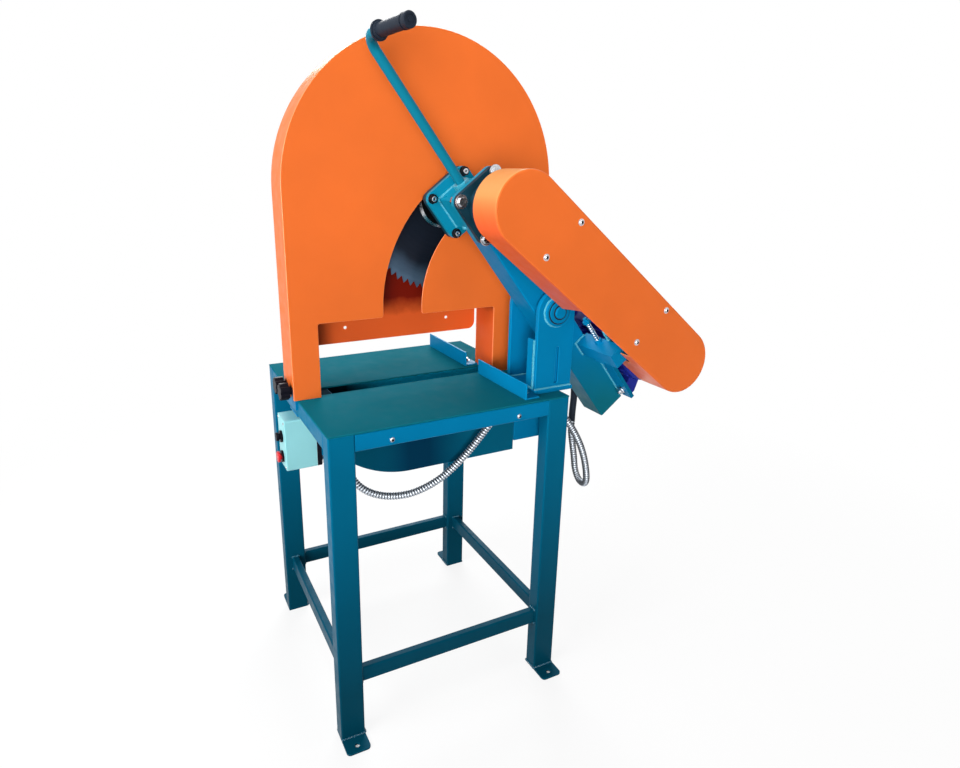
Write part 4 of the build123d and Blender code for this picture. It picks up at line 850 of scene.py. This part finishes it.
def weld_tree():
    """Row of overlapping weld ripples along each edge of a mesh."""
    tree, source, target = new_tree("weld_bead", {"Radius": 2.6, "Pitch": 2.6}, seed=7)
    smallest, largest = (0.85, 0.85, 0.6), (1.15, 1.15, 0.8)
    lines = made(tree, "GeometryNodeMeshToCurve", {"Mesh": source["Geometry"]})
    points = add_node(tree, "GeometryNodeCurveToPoints", {
        "Curve": lines, "Length": source["Pitch"]}, mode="LENGTH").outputs
    ripple = made(tree, "GeometryNodeMeshIcoSphere", {
        "Radius": source["Radius"], "Subdivisions": 2})
    size = made(tree, "FunctionNodeRandomValue", {
        "Min": smallest, "Max": largest, "Seed": source["Seed"]},
        data_type="FLOAT_VECTOR")
    copies = made(tree, "GeometryNodeInstanceOnPoints", {
        "Points": points["Points"], "Instance": ripple, "Rotation": points["Rotation"],
        "Scale": size})
    return close_tree(tree, copies, target, source["Material"])


def conduit_tree():
    """Ribbed metal conduit that ends in a plain sleeve, swept along a curve."""
    tree, source, target = new_tree("ribbed_conduit", {
        "Diameter": 15, "Pitch": 5.5, "Depth": 1.1, "Sleeve Start": 1300},
        materials=("Metal", "Sleeve"))
    rings_per_rib, sharpness, sides = 6.0, 5.0, 16
    line = made(tree, "GeometryNodeResampleCurve", {
        "Curve": source["Geometry"], "Length": over(tree, source["Pitch"], rings_per_rib)},
        mode="LENGTH")
    length = made(tree, "GeometryNodeSplineParameter", output="Length")
    kept = made(tree, "GeometryNodeStoreNamedAttribute", {
        "Geometry": line, "Name": "along", "Value": length}, data_type="FLOAT", domain="POINT")
    groove = math_node(tree, "POWER", rib_wave(tree, length, source["Pitch"]), sharpness)
    radius = times(tree, source["Diameter"], 0.5)
    ribbed = minus(tree, radius, times(tree, groove, source["Depth"]))
    on_sleeve = math_node(tree, "GREATER_THAN", length, source["Sleeve Start"])
    scale = plus(tree, ribbed, times(tree, on_sleeve, minus(tree, radius, ribbed)))
    ring = made(tree, "GeometryNodeCurvePrimitiveCircle", {"Resolution": sides, "Radius": 1.0})
    tube = swept(tree, kept, ring, Scale=scale, **{"Fill Caps": True})
    smooth = made(tree, "GeometryNodeSetShadeSmooth", {"Geometry": tube})
    later = made(tree, "FunctionNodeCompare", {
        "A": named_attribute(tree, "along", "FLOAT"), "B": source["Sleeve Start"]},
        data_type="FLOAT", operation="GREATER_THAN")
    return close_tree(tree, smooth, target, source["Metal"], later, source["Sleeve"])


# Operators

class SAW_OT_stage(bpy.types.Operator):
    """Camera, soft lights, pale floor and white surroundings"""
    bl_idname = "saw.stage"
    bl_label = "Stage"

    viewpoint = (1.48901, -0.63712, 1.33675)
    view_angles = (73.1906, -0.1854, 64.4753)
    focal_length, sensor_width = 24.117, 36
    shift_x, shift_y = 0.04758, -0.02345
    floor_reach = 14.0

    def execute(self, context):
        settings = context.scene.saw_stage
        self.place_camera(context.scene)
        self.hang_lamps(settings)
        self.surround(context.scene, settings.ambient)
        self.lay_floor(settings.floor)
        return {"FINISHED"}

    def place_camera(self, scene):
        """Camera at the photograph's viewpoint."""
        lens = bpy.data.cameras.new("camera")
        lens.lens = self.focal_length
        lens.sensor_width = self.sensor_width
        lens.shift_x = self.shift_x
        lens.shift_y = self.shift_y
        camera = put_in_scene("camera", lens)
        camera.location = self.viewpoint
        camera.rotation_euler = Euler([radians(angle) for angle in self.view_angles])
        scene.camera = camera
        scene.view_settings.view_transform = "Standard"

    def hang_lamps(self, settings):
        """Soft lamps, each with its size, spread, place and target."""
        for name, power, size, spread_angle, place, target in (
            ("key", settings.key_power, 2.4, 180, (0.7, -3.3, 2.5), (0, 0, 1.15)),
            ("fill", settings.fill_power, 3.0, 40, (4.5, -2.2, 1.4), (0.1, 0.34, 1.48)),
            ("top", settings.top_power, 2.2, 180, (0.6, -0.2, 4.0), (0.1, 0, 1.0)),
            ("back", settings.back_power, 1.8, 180, (-2.4, 0.9, 2.2), (-0.1, 0, 0.9)),
        ):
            light = bpy.data.lights.new(name, "AREA")
            light.energy = power
            light.size = size
            light.spread = radians(spread_angle)
            lamp = put_in_scene(name, light)
            lamp.location = place
            way = Vector(target) - Vector(place)
            lamp.rotation_euler = way.to_track_quat("-Z", "Y").to_euler()

    def surround(self, scene, ambient):
        """World that shows white and lights the object faintly all round."""
        world = bpy.data.worlds.new("white_surroundings")
        world.use_nodes = True
        tree = world.node_tree
        tree.nodes.clear()
        strength = made(tree, "ShaderNodeMix", {0: shown_white(tree), 2: ambient, 3: 1.0},
                        data_type="FLOAT")
        background = made(tree, "ShaderNodeBackground", {"Color": WHITE, "Strength": strength})
        add_node(tree, "ShaderNodeOutputWorld", {"Surface": background})
        scene.world = world

    def lay_floor(self, colour):
        """Wide flat floor."""
        reach = self.floor_reach
        corners = [(-reach, -reach, 0), (reach, -reach, 0), (reach, reach, 0), (-reach, reach, 0)]
        mesh = bpy.data.meshes.new("studio_floor")
        mesh.from_pydata(corners, [], [(0, 1, 2, 3)])
        mesh.materials.append(pale_floor("studio_floor", colour))
        put_in_scene("studio_floor", mesh)


class SAW_OT_finishes(bpy.types.Operator):
    """Paints, metals, plastics and rubber of every CAD node"""
    bl_idname = "saw.finishes"
    bl_label = "Finishes"

    repainted = {
        "blue_paint": ("pivot_bushes", "pivot_shaft", "guard_bracket", "tension_screw"),
        "stand_paint": ("leg_front_right", "leg_front_left", "leg_rear_right", "leg_rear_left",
                        "end_rails", "side_stretchers", "end_stretchers", "foot_plates"),
        "guard_panel": ("guard_front_panel",),
        # Painted shade: the guard's rear panel and leg liner take the darker inner orange
        "guard_inner": ("guard_rear_panel", "guard_leg_liner"),
        "block_paint": ("spindle_block",),
        "beam_paint": ("arm_beam",),
        "handle_paint": ("handle_bar",),
        "chute_paint": ("dust_chute",),
        "zinc": ("blade_clamp",),
    }
    black_bolts_x = 0.12
    handle_nut_x = 0.19
    chute_wall_gap = 0.01
    rim_slope, nut_slope = 0.5, 0.4

    def execute(self, context):
        self.mix_enamels(context.scene.saw_colours)
        self.mix_others(context.scene.saw_colours, context.scene.saw_sizes)
        for name, slot in SLOTS.items():
            NODES[name].data.materials.clear()
            NODES[name].data.materials.append(FINISHES[slot])
        for finish, names in self.repainted.items():
            for name in names:
                NODES[name].data.materials[0] = FINISHES[finish]
        self.paint_second_finishes()
        return {"FINISHED"}

    def mix_enamels(self, colours):
        """Sprayed paints: slot, name, colour, roughness, peel, specular level, sheen, layer."""
        # Painted shade: the stand's paint, its edges and its welds darken towards the floor
        painted_shade, shade_range = colours.low_shade_blue, (0.22, TABLE_Z + 0.14)
        shaded_low = (shaded_below, painted_shade, *shade_range)
        shaded_low_edge = (shaded_below, shaded(painted_shade, 1.5), *shade_range)
        shaded_low_weld = (shaded_below, shaded(painted_shade, 1.4), *shade_range)
        # Painted shade: the beam's paint darkens to the table's teal from the pivot's height down to just above
        # the table
        shaded_low_beam = (shaded_below, colours.table, TABLE_Z + 0.02, PIVOT.z)
        dull = (shaded_middle, colours.chute_shade)
        highlit = (highlit_rim, colours.belt_rim, colours.lit_belt_under)
        stained_and_shaded = (stained_and_shaded_inside, colours.pitch)
        blue, orange = colours.blue, colours.orange
        for slot, *values in (
            ("blue_paint", "blue_enamel", blue, 0.36, 0.10, 0.05, BLUE_SHEEN, shaded_low),
            # Wear and painted highlight: lighter blue on the bevelled edges
            ("blue_edge", "worn_blue_edge", shaded(blue, 1.3), 0.30, 0.05, 0.2, BLUE_SHEEN,
             shaded_low_edge),
            # Painted shade: the stand's enamel is a darker copy of the blue
            ("stand_paint", "stand_enamel", colours.shaded_stand_blue, 0.36, 0.10, 0.05, BLUE_SHEEN,
             shaded_low),
            ("beam_paint", "beam_enamel", blue, 0.36, 0.10, 0.05, BLUE_SHEEN, shaded_low_beam),
            # Painted highlight: lighter blue weld beads
            ("weld_paint", "weld_enamel", colours.weld, 0.24, 0.25, 0.5, None, shaded_low_weld),
            ("block_paint", "block_enamel", colours.block_blue, 0.34, 0.30, 0.08, BLUE_SHEEN,
             None),
            ("handle_paint", "handle_enamel", colours.handle_blue, 0.36, 0.30, 0.10, BLUE_SHEEN,
             None),
            ("chute_paint", "chute_enamel", colours.shaded_chute_blue, 0.40, 0.10, 0.04, BLUE_SHEEN,
             dull),
            # Painted shade: near-black inside of the chute
            ("chute_inside", "sawdust_stain", PAINTED_CHUTE_SHADE, 0.6, 0.2, 0.002, None, None),
            ("table_paint", "table_enamel", colours.table, 0.5, 0.10, 0.002, None, None),
            ("orange_paint", "orange_enamel", orange, 0.40, 0.06, 0.14, None, None),
            ("belt_rim", "belt_rim_enamel", orange, 0.36, 0.06, 0.45, ORANGE_SHEEN, highlit),
            # Wear and painted highlight: lighter orange on the bevelled edges
            ("orange_edge", "worn_orange_edge", (0.95, 0.26, 0.085), 0.32, 0.05, 0.4, None, None),
            ("guard_panel", "guard_panel_enamel", orange, 0.42, 0.06, 0.12, None, stained_and_shaded),
            ("guard_inner", "guard_inner_enamel", colours.shaded_inner_orange, 0.42, 0.06, 0.10, None,
             stained_and_shaded),
            ("motor_paint", "motor_enamel", colours.motor, 0.32, 0.12, 0.10, None, None),
        ):
            FINISHES[slot] = enamel(*values)

    def mix_others(self, colours, sizes):
        """Castings, metals, plastics and rubber."""
        FINISHES.update({
            # Painted shade and painted light: the chute's far wall is dark at its front and lit blue further back
            "chute_wall": shadowed_wall(
                "chute_wall", PAINTED_CHUTE_SHADE, (0.004, 0.50, 0.80), front=-0.16, rear=-0.06),
            "dark_casting": casting("housing_casting", colours.casting),
            # Pitch, painted shade and painted sheen on the blade
            "blade_steel": ground_blade(
                "ground_blade", (0.010, 0.015, 0.026), (0.075, 0.13, 0.20)),
            "shaft_steel": turned_metal("turned_steel", (0.52, 0.53, 0.54), 0.26),
            "bronze": turned_metal("bronze_bush", (0.50, 0.33, 0.14), 0.32),
            "zinc": bare_metal("zinc_plate", (0.62, 0.64, 0.67), 0.24),
            "black_oxide": bare_metal("black_oxide", (0.020, 0.022, 0.026), 0.38),
            "black_plastic": moulding(
                "black_moulding", (0.004, 0.004, 0.008), 0.38, 900.0, 0.10, 0.08),
            "pale_plastic": moulding("pale_moulding", colours.pale, 0.38, 700.0, 0.05),
            # Wear and painted highlight: near-white edges of the control box
            "pale_edge": moulding("pale_rim", (0.72, 0.95, 0.97), 0.34, 700.0, 0.05, 0.3),
            "red_plastic": moulding("red_moulding", colours.red, 0.28, 600.0, 0.03, 0.3),
            "black_rubber": moulding("black_rubber", (0.012, 0.018, 0.030), 0.45, 420.0, 0.5),
            "conduit_metal": ribbed_metal("conduit_strip", (0.74, 0.80, 0.88), sizes.rib_pitch),
        })

    def paint_second_finishes(self):
        """Faces of a CAD node that have another finish than the rest of it."""
        black, nut, gap = self.black_bolts_x, self.handle_nut_x, self.chute_wall_gap
        paint_faces("arm_fasteners", "black_oxide", lambda face: face.center.x < black)
        # Painted highlight: the handle nut takes the lighter weld enamel
        paint_faces("arm_fasteners", "weld_paint", lambda face: black < face.center.x < nut)
        # Painted shade: the chute's upward and inner faces go near black, and its far wall takes the shaded wall
        # finish
        paint_faces("dust_chute", "chute_inside", lambda face: face.normal.z > SQUARE_ON or (
            (face.center.x - CHUTE_MIDDLE) * face.normal.x < -gap))
        paint_faces("dust_chute", "chute_wall", lambda face: (
            face.normal.x > SQUARE_ON and face.center.x < CHUTE_MIDDLE - gap))
        # Painted highlight: the belt guard's rim faces take the rim finish
        paint_faces("belt_guard", "belt_rim", lambda face: abs(face.normal.x) < self.rim_slope)
        # Painted shade: the motor plate's near faces take the darker stand enamel
        paint_faces("motor_plate", "stand_paint", lambda face: face.normal.x > SQUARE_ON)
        paint_faces("blade_clamp", "black_oxide", lambda face: not (
            self.nut_slope < face.normal.x < SQUARE_ON))


class SAW_OT_soft_edges(bpy.types.Operator):
    """Broken edges on the welded and pressed parts"""
    bl_idname = "saw.soft_edges"
    bl_label = "Soft edges"

    widths = {
        1.6: ("leg_front_right", "leg_front_left", "leg_rear_right", "leg_rear_left", "side_rails",
              "end_rails", "side_stretchers", "end_stretchers", "arm_beam", "cross_tube"),
        1.0: ("foot_plates", "table_plate_right", "table_plate_left", "fence_right", "fence_left",
              "pedestal_base", "pivot_cheek_right", "pivot_cheek_left", "spindle_block",
              "motor_plate", "belt_guard_brackets", "control_bracket", "pivot_bushes",
              "pivot_shaft", "terminal_box", "control_box_base"),
        1.2: ("control_box_cover",),
        0.9: ("guard_front_panel", "belt_guard"),
        0.6: ("guard_rear_panel", "guard_rim", "guard_leg_liner", "guard_bracket", "dust_chute",
              "arm_fasteners", "tension_screw", "conduit_gland"),
    }
    # Wear and painted highlight: lighter finishes on the bevelled edges
    worn = {"blue_paint": "blue_edge", "orange_paint": "orange_edge", "pale_plastic": "pale_edge"}
    merge_distance, flat_angle, edge_angle = 0.02, 1, 40

    def execute(self, context):
        for width, names in self.widths.items():
            for name in names:
                self.soften(NODES[name], width, self.worn.get(SLOTS[name]))
        return {"FINISHED"}

    def soften(self, node, width, edge_finish):
        """Rounded edges on a node, in a lighter edge finish of paint wear and painted highlight where it has one.
        """
        add_modifier(node, "merged", "WELD", merge_threshold=self.merge_distance * MM)
        add_modifier(node, "flat_faces", "DECIMATE", decimate_type="DISSOLVE",
                     angle_limit=radians(self.flat_angle), delimit={"MATERIAL"})
        bevel = add_modifier(node, "soft_edge", "BEVEL", width=width * MM, segments=2,
                             limit_method="ANGLE", angle_limit=radians(self.edge_angle))
        if edge_finish:
            bevel.material = len(node.data.materials)
            node.data.materials.append(FINISHES[edge_finish])
        add_modifier(node, "even_shading", "WEIGHTED_NORMAL", keep_sharp=True)


class SAW_OT_conduit(bpy.types.Operator):
    """Ribbed conduit of the control box, and the sleeved lead from its loop to the motor"""
    bl_idname = "saw.conduit"
    bl_label = "Conduit"

    route = (
        (8, -238, 625), (8, -212, 625), (13, -193, 605), (22, -181, 572), (34, -163, 540),
        (46, -136, 518), (56, -98, 503), (62, -52, 497), (66, -8, 500), (72, 52, 522),
        (79, 102, 560), (86, 146, 606), (92, 184, 654), (98, 220, 700), (104, 260, 730),
        (111, 306, 738), (119, 354, 724), (127, 400, 690), (133, 440, 640), (137, 472, 584),
        (137, 492, 536), (137, 504, 490), (132, 513, 450), (109, 522, 426), (76, 528, 425),
        (53, 530, 449), (50, 526, 492), (50, 517, 536), (50, 508, 578), (50, 508, 614),
    )
    sleeve = (
        (50, 508, 642), (50, 511, 690), (52, 506, 738), (56, 484, 784), (61, 452, 818),
        (66, 426, 850), (69, 415, 888),
    )
    gland, gland_reach = (146.4, 92, 73), 38
    loop_bottom = (92, 525, 425)
    lead_still, lead_way = (50, 525, 440), (0, -96, 470)
    no_sleeve = 10.0

    def execute(self, context):
        gland = arm_point(*self.gland)
        points = [row_point(*point) for point in self.route + self.sleeve]
        points += [gland - ACROSS * (self.gland_reach * MM), gland]
        guide = put_in_scene("conduit_route", route_curve("conduit_route", points, "NURBS"))
        path = [vertex.co.copy() for vertex in evaluated_mesh(guide).vertices]
        bpy.data.objects.remove(guide)
        foot = nearest(path, row_point(*self.loop_bottom))
        sleeve = nearest(path, row_point(*self.route[-1]))
        bare_length = path_length(path[foot:sleeve + 1])
        sizes = context.scene.saw_sizes
        run = self.tube(sizes, "wiring_conduit", path[:foot + 1], self.no_sleeve, "conduit_metal")
        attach(run, "frame")
        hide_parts("conduit_run")
        lead = self.tube(sizes, "motor_lead", path[foot:], bare_length, "black_rubber")
        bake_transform(lead)
        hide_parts("conduit_sleeve")
        return {"FINISHED"}

    def tube(self, sizes, name, path, sleeve_start, slot):
        """One length of the conduit, along its part of the path."""
        mesh = run_tree(name, conduit_tree(), route_curve(name + ".route", path, "POLY"), {
            "Diameter": sizes.conduit_diameter, "Pitch": sizes.rib_pitch,
            "Depth": sizes.rib_depth, "Sleeve Start": sleeve_start,
            "Metal": FINISHES["conduit_metal"], "Sleeve": FINISHES["black_rubber"]})
        piece = put_in_scene(name, mesh)
        return piece


class SAW_OT_hex_bolts(bpy.types.Operator):
    """Hexagon bolts and nuts of the motor feet, the fences and the motor's end bells"""
    bl_idname = "saw.hex_bolts"
    bl_label = "Hexagon bolts"

    feet = ((188, 111), (188, 236), (328, 111), (328, 236))
    foot_top, plate_under = 62, 40
    fence_x, fence_y, fence_top = (76, 232, -76, -232), 213, 804
    motor_u, motor_n = 258, 140
    bell_x, bell_radius, bell_bolt_across = 292, 66, 10
    height_share, thread_share = 0.45, 0.6

    def execute(self, context):
        sizes = context.scene.saw_sizes
        tree = hex_bolt_tree()
        feet = [(arm_point(u, self.foot_top, x), ACROSS) for u, x in self.feet]
        feet += [(arm_point(u, self.plate_under, x), -ACROSS) for u, x in self.feet]
        fences = [(row_point(x, self.fence_y, self.fence_top), UP) for x in self.fence_x]
        bells = []
        for turn in QUARTERS:
            u = self.motor_u + self.bell_radius * cos(turn)
            n = self.motor_n + self.bell_radius * sin(turn)
            bells.append((arm_point(u, n, self.bell_x), RIGHT))
        for name, body, places, across, washer_share, washer_height, thread_end in (
            ("motor_foot_bolts", "saw_arm", feet, sizes.foot_bolt_across, 1.35, 2, 5),
            ("fence_bolts", "frame", fences, sizes.fence_bolt_across, 1.6, 1.6, 0.4),
            ("end_bell_bolts", "saw_arm", bells, self.bell_bolt_across * MM, 1.2, 1.2, 0.3),
        ):
            fasten(name, tree, body, "zinc", places, {
                "Across": across, "Height": across * self.height_share,
                "Washer": across * washer_share, "Washer Height": washer_height * MM,
                "Thread": across * self.thread_share, "Thread End": thread_end * MM})
        return {"FINISHED"}


class SAW_OT_rings(bpy.types.Operator):
    """Washers and stud ends of the bearing bolts, and seal rings of the pivot"""
    bl_idname = "saw.rings"
    bl_label = "Washers and seals"

    bearing_bolts = ((-371, -51), (-371, 51), (-269, -51), (-269, 51))
    hub_height, plate_thickness, nut_height = 20, 12, 9
    cheek_faces = (("pivot_cheek_right", 1, 1), ("pivot_cheek_left", 0, -1))
    seal_height = 1.2

    def execute(self, context):
        tree = ring_tree()
        flange_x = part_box("bearing_housing_right")[1].x / MM - self.hub_height
        plate_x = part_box("spindle_block")[0].x / MM + self.plate_thickness
        stud_x = plate_x + self.nut_height
        for name, x, finish, outer, inner, height in (
            ("near_bolt_washers", flange_x, "zinc", 30, 14, 2.4),
            ("far_nut_washers", plate_x, "black_oxide", 23, 14, 2),
            ("far_stud_ends", stud_x, "zinc", 13, 4, 3),
        ):
            places = [(arm_point(u, n, x), RIGHT) for u, n in self.bearing_bolts]
            fasten(name, tree, "saw_arm", "zinc", places, {
                "Outer": outer * MM, "Inner": inner * MM, "Height": height * MM}, finish)
        for name, outer, inner, proud in (
            ("bush_seals", 60, 54.2, 0),
            ("shaft_seals", 37, 30.4, 4),
        ):
            places = []
            for node, end, way in self.cheek_faces:
                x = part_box(node)[end].x + way * proud * MM
                places.append((Vector((x, PIVOT.y, PIVOT.z)), (way, 0, 0)))
            fasten(name, tree, "frame", "black_rubber", places, {
                "Outer": outer * MM, "Inner": inner * MM, "Height": self.seal_height * MM})
        return {"FINISHED"}


class SAW_OT_threads(bpy.types.Operator):
    """Thread of the belt tension screw"""
    bl_idname = "saw.threads"
    bl_label = "Screw thread"

    screw_n, screw_x, screw_diameter = 35.87, 276, 10

    def execute(self, context):
        tree = thread_tree()
        pitch = context.scene.saw_sizes.thread_pitch
        for name, start, length in (("tension_thread", 62, 56), ("tension_thread_end", 186, 7.5)):
            places = [(arm_point(start, self.screw_n, self.screw_x), ALONG)]
            fasten(name, tree, "saw_arm", "zinc", places, {
                "Diameter": self.screw_diameter * MM, "Pitch": pitch, "Length": length * MM})
        return {"FINISHED"}


class SAW_OT_socket_screws(bpy.types.Operator):
    """Domed socket screws of the belt guard, the table apron, the motor and the boxes"""
    bl_idname = "saw.socket_screws"
    bl_label = "Socket screws"

    cover_places = ((-220, 84), (-216.5, -23), (106.5, 165), (111, 59.6))
    apron_y, apron_z = (-163, 162), 770
    box_inset = 8
    lid_u, lid_n, lid_x = 128, (114, 166), (54, 142)
    fan_cover_inset = 5

    def execute(self, context):
        sizes = context.scene.saw_sizes
        tree = socket_screw_tree()
        guard_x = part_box("belt_guard")[1].x / MM
        rail_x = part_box("side_rails")[1].x / MM
        cover = [(arm_point(u, n, guard_x), RIGHT) for u, n in self.cover_places]
        apron = [(row_point(rail_x, y, self.apron_z), RIGHT) for y in self.apron_y]
        low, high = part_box("control_box_cover")
        inset = self.box_inset * MM
        box = [(Vector((x, low.y, z)), TO_OPERATOR) for x in (low.x + inset, high.x - inset)
               for z in (low.z + inset, high.z - inset)]
        lid = [(arm_point(self.lid_u, n, x), -ALONG) for n in self.lid_n for x in self.lid_x]
        fan_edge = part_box("motor_fan_cover")[1]
        centre = Vector((fan_edge.x - self.fan_cover_inset * MM, MOTOR.y, MOTOR.z))
        ways = [Vector((0, cos(turn), sin(turn))) for turn in QUARTERS]
        fan_cover = [(centre + way * (fan_edge.z - MOTOR.z), way) for way in ways]
        for name, body, places, diameter, height, washer, washer_height in (
            ("belt_guard_screws", "saw_arm", cover, sizes.cover_screw, 4, 15, 1.2),
            ("apron_bolts", "frame", apron, 11 * MM, 4, 11.5, 1.2),
            ("control_box_screws", "frame", box, sizes.box_screw, 2, 7, 0.4),
            ("terminal_box_screws", "saw_arm", lid, 7 * MM, 2.5, 8, 0.4),
            ("fan_cover_screws", "saw_arm", fan_cover, 8 * MM, 3, 9, 0.5),
        ):
            fasten(name, tree, body, "zinc", places, {
                "Diameter": diameter, "Height": height * MM, "Washer": washer * MM,
                "Washer Height": washer_height * MM})
        return {"FINISHED"}


class SAW_OT_welds(bpy.types.Operator):
    """Weld beads along the joints of the stand, the pivot and the arm"""
    bl_idname = "saw.welds"
    bl_label = "Weld beads"

    # Ends of the lines at the pivot's foot, with heights above its base plate
    cheek_lines = (
        ((110, 236, 0), (110, 342, 0)), ((122, 236, 0), (122, 342, 0)),
        ((230, 236, 0), (230, 342, 0)), ((242, 236, 0), (242, 342, 0)),
        ((230, 236, 2), (230, 236, 122)), ((200, 236, 0), (230, 236, 0)),
    )
    # Ends of the lines at the rear right leg, which the other legs mirror
    leg_lines = (
        ((288, 249, 5), (288, 305, 5)), ((250, 247, 5), (286, 247, 5)),
        ((258, 247, 148), (278, 247, 148)), ((248, 267, 148), (248, 287, 148)),
        ((258, 247, 188), (278, 247, 188)), ((248, 267, 188), (248, 287, 188)),
    )
    # Ends of the lines of the swing arm, as arm_point takes them
    arm_lines = (
        ((-360, -40, 98), (-360, 40, 98)), ((-360, 40, 98), (-280, 40, 98)),
        ((-360, -40, 98), (-280, -40, 98)), ((-360, -40, 216), (-360, 40, 216)),
        ((-360, 40, 216), (-280, 40, 216)), ((-360, -40, 216), (-280, -40, 216)),
        ((-280, -40, 136), (-280, -40, 216)), ((-280, 40, 136), (-280, 40, 216)),
        ((-280, -38, 136), (-280, 38, 136)), ((-280, -38, 216), (-280, 38, 216)),
        ((126, 8, 216), (126, 38, 216)), ((166, 8, 216), (166, 38, 216)),
        ((126, 8, 216), (166, 8, 216)), ((172, 40, 136), (350, 40, 136)),
        ((172, 40, 216), (350, 40, 216)), ((97, 48, 301), (164, 48, 301)),
    )
    bush_faces, bush_radius = (242, 110), 36
    hub_faces, hub_radius = (136, 216), 30

    def execute(self, context):
        base = Vector((0, 0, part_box("pivot_cheek_right")[0].z))
        stand = [[base + row_point(*end) for end in ends] for ends in self.cheek_lines]
        stand += self.circles(self.bush_faces, self.bush_radius)
        for side_x in (1, -1):
            for side_y in (1, -1):
                stand += [[row_point(x * side_x, y * side_y, z) for x, y, z in ends]
                          for ends in self.leg_lines]
        arm = [[arm_point(*end) for end in ends] for ends in self.arm_lines]
        arm += self.circles(self.hub_faces, self.hub_radius)
        tree = weld_tree()
        sizes = context.scene.saw_sizes
        values = {"Radius": sizes.weld_radius, "Pitch": sizes.weld_pitch,
                  "Material": FINISHES["weld_paint"]}
        for name, body, lines in (("stand_welds", "frame", stand), ("arm_welds", "saw_arm", arm)):
            mesh = run_tree(name, tree, line_mesh(name + ".lines", lines), values)
            ride_smooth(name, mesh, WELD_CREASE, body)
        return {"FINISHED"}

    def circles(self, faces, radius):
        """Lines round the pivot on faces across the arm."""
        return [circle_line(arm_point(0, 0, x), radius * MM) for x in faces]


STEPS = (
    SAW_OT_finishes, SAW_OT_stage, SAW_OT_conduit, SAW_OT_soft_edges, SAW_OT_hex_bolts,
    SAW_OT_rings, SAW_OT_threads, SAW_OT_socket_screws, SAW_OT_welds,
)


class SAW_PT_panel(bpy.types.Panel):
    """Steps that dress the saw"""
    bl_idname = "SAW_PT_panel"
    bl_label = "Crosscut saw"
    bl_space_type = "VIEW_3D"
    bl_region_type = "UI"
    bl_category = "Saw"

    def draw(self, context):
        for step in STEPS:
            self.layout.operator(step.bl_idname)


CLASSES = (SawColours, SawSizes, SawStage, *STEPS, SAW_PT_panel)


def register():
    """Make the settings, the steps and the panel known to Blender."""
    for cls in CLASSES:
        bpy.utils.register_class(cls)
    bpy.types.Scene.saw_colours = bpy.props.PointerProperty(type=SawColours)
    bpy.types.Scene.saw_sizes = bpy.props.PointerProperty(type=SawSizes)
    bpy.types.Scene.saw_stage = bpy.props.PointerProperty(type=SawStage)


def unregister():
    """Take the settings, the steps and the panel away again."""
    del bpy.types.Scene.saw_stage
    del bpy.types.Scene.saw_sizes
    del bpy.types.Scene.saw_colours
    for cls in reversed(CLASSES):
        bpy.utils.unregister_class(cls)


def main():
    register()
    bpy.ops.saw.finishes()
    bpy.ops.saw.stage()
    bpy.ops.saw.conduit()
    bpy.ops.saw.soft_edges()
    bpy.ops.saw.hex_bolts()
    bpy.ops.saw.rings()
    bpy.ops.saw.threads()
    bpy.ops.saw.socket_screws()
    bpy.ops.saw.welds()


if __name__ == "__main__":
    main()
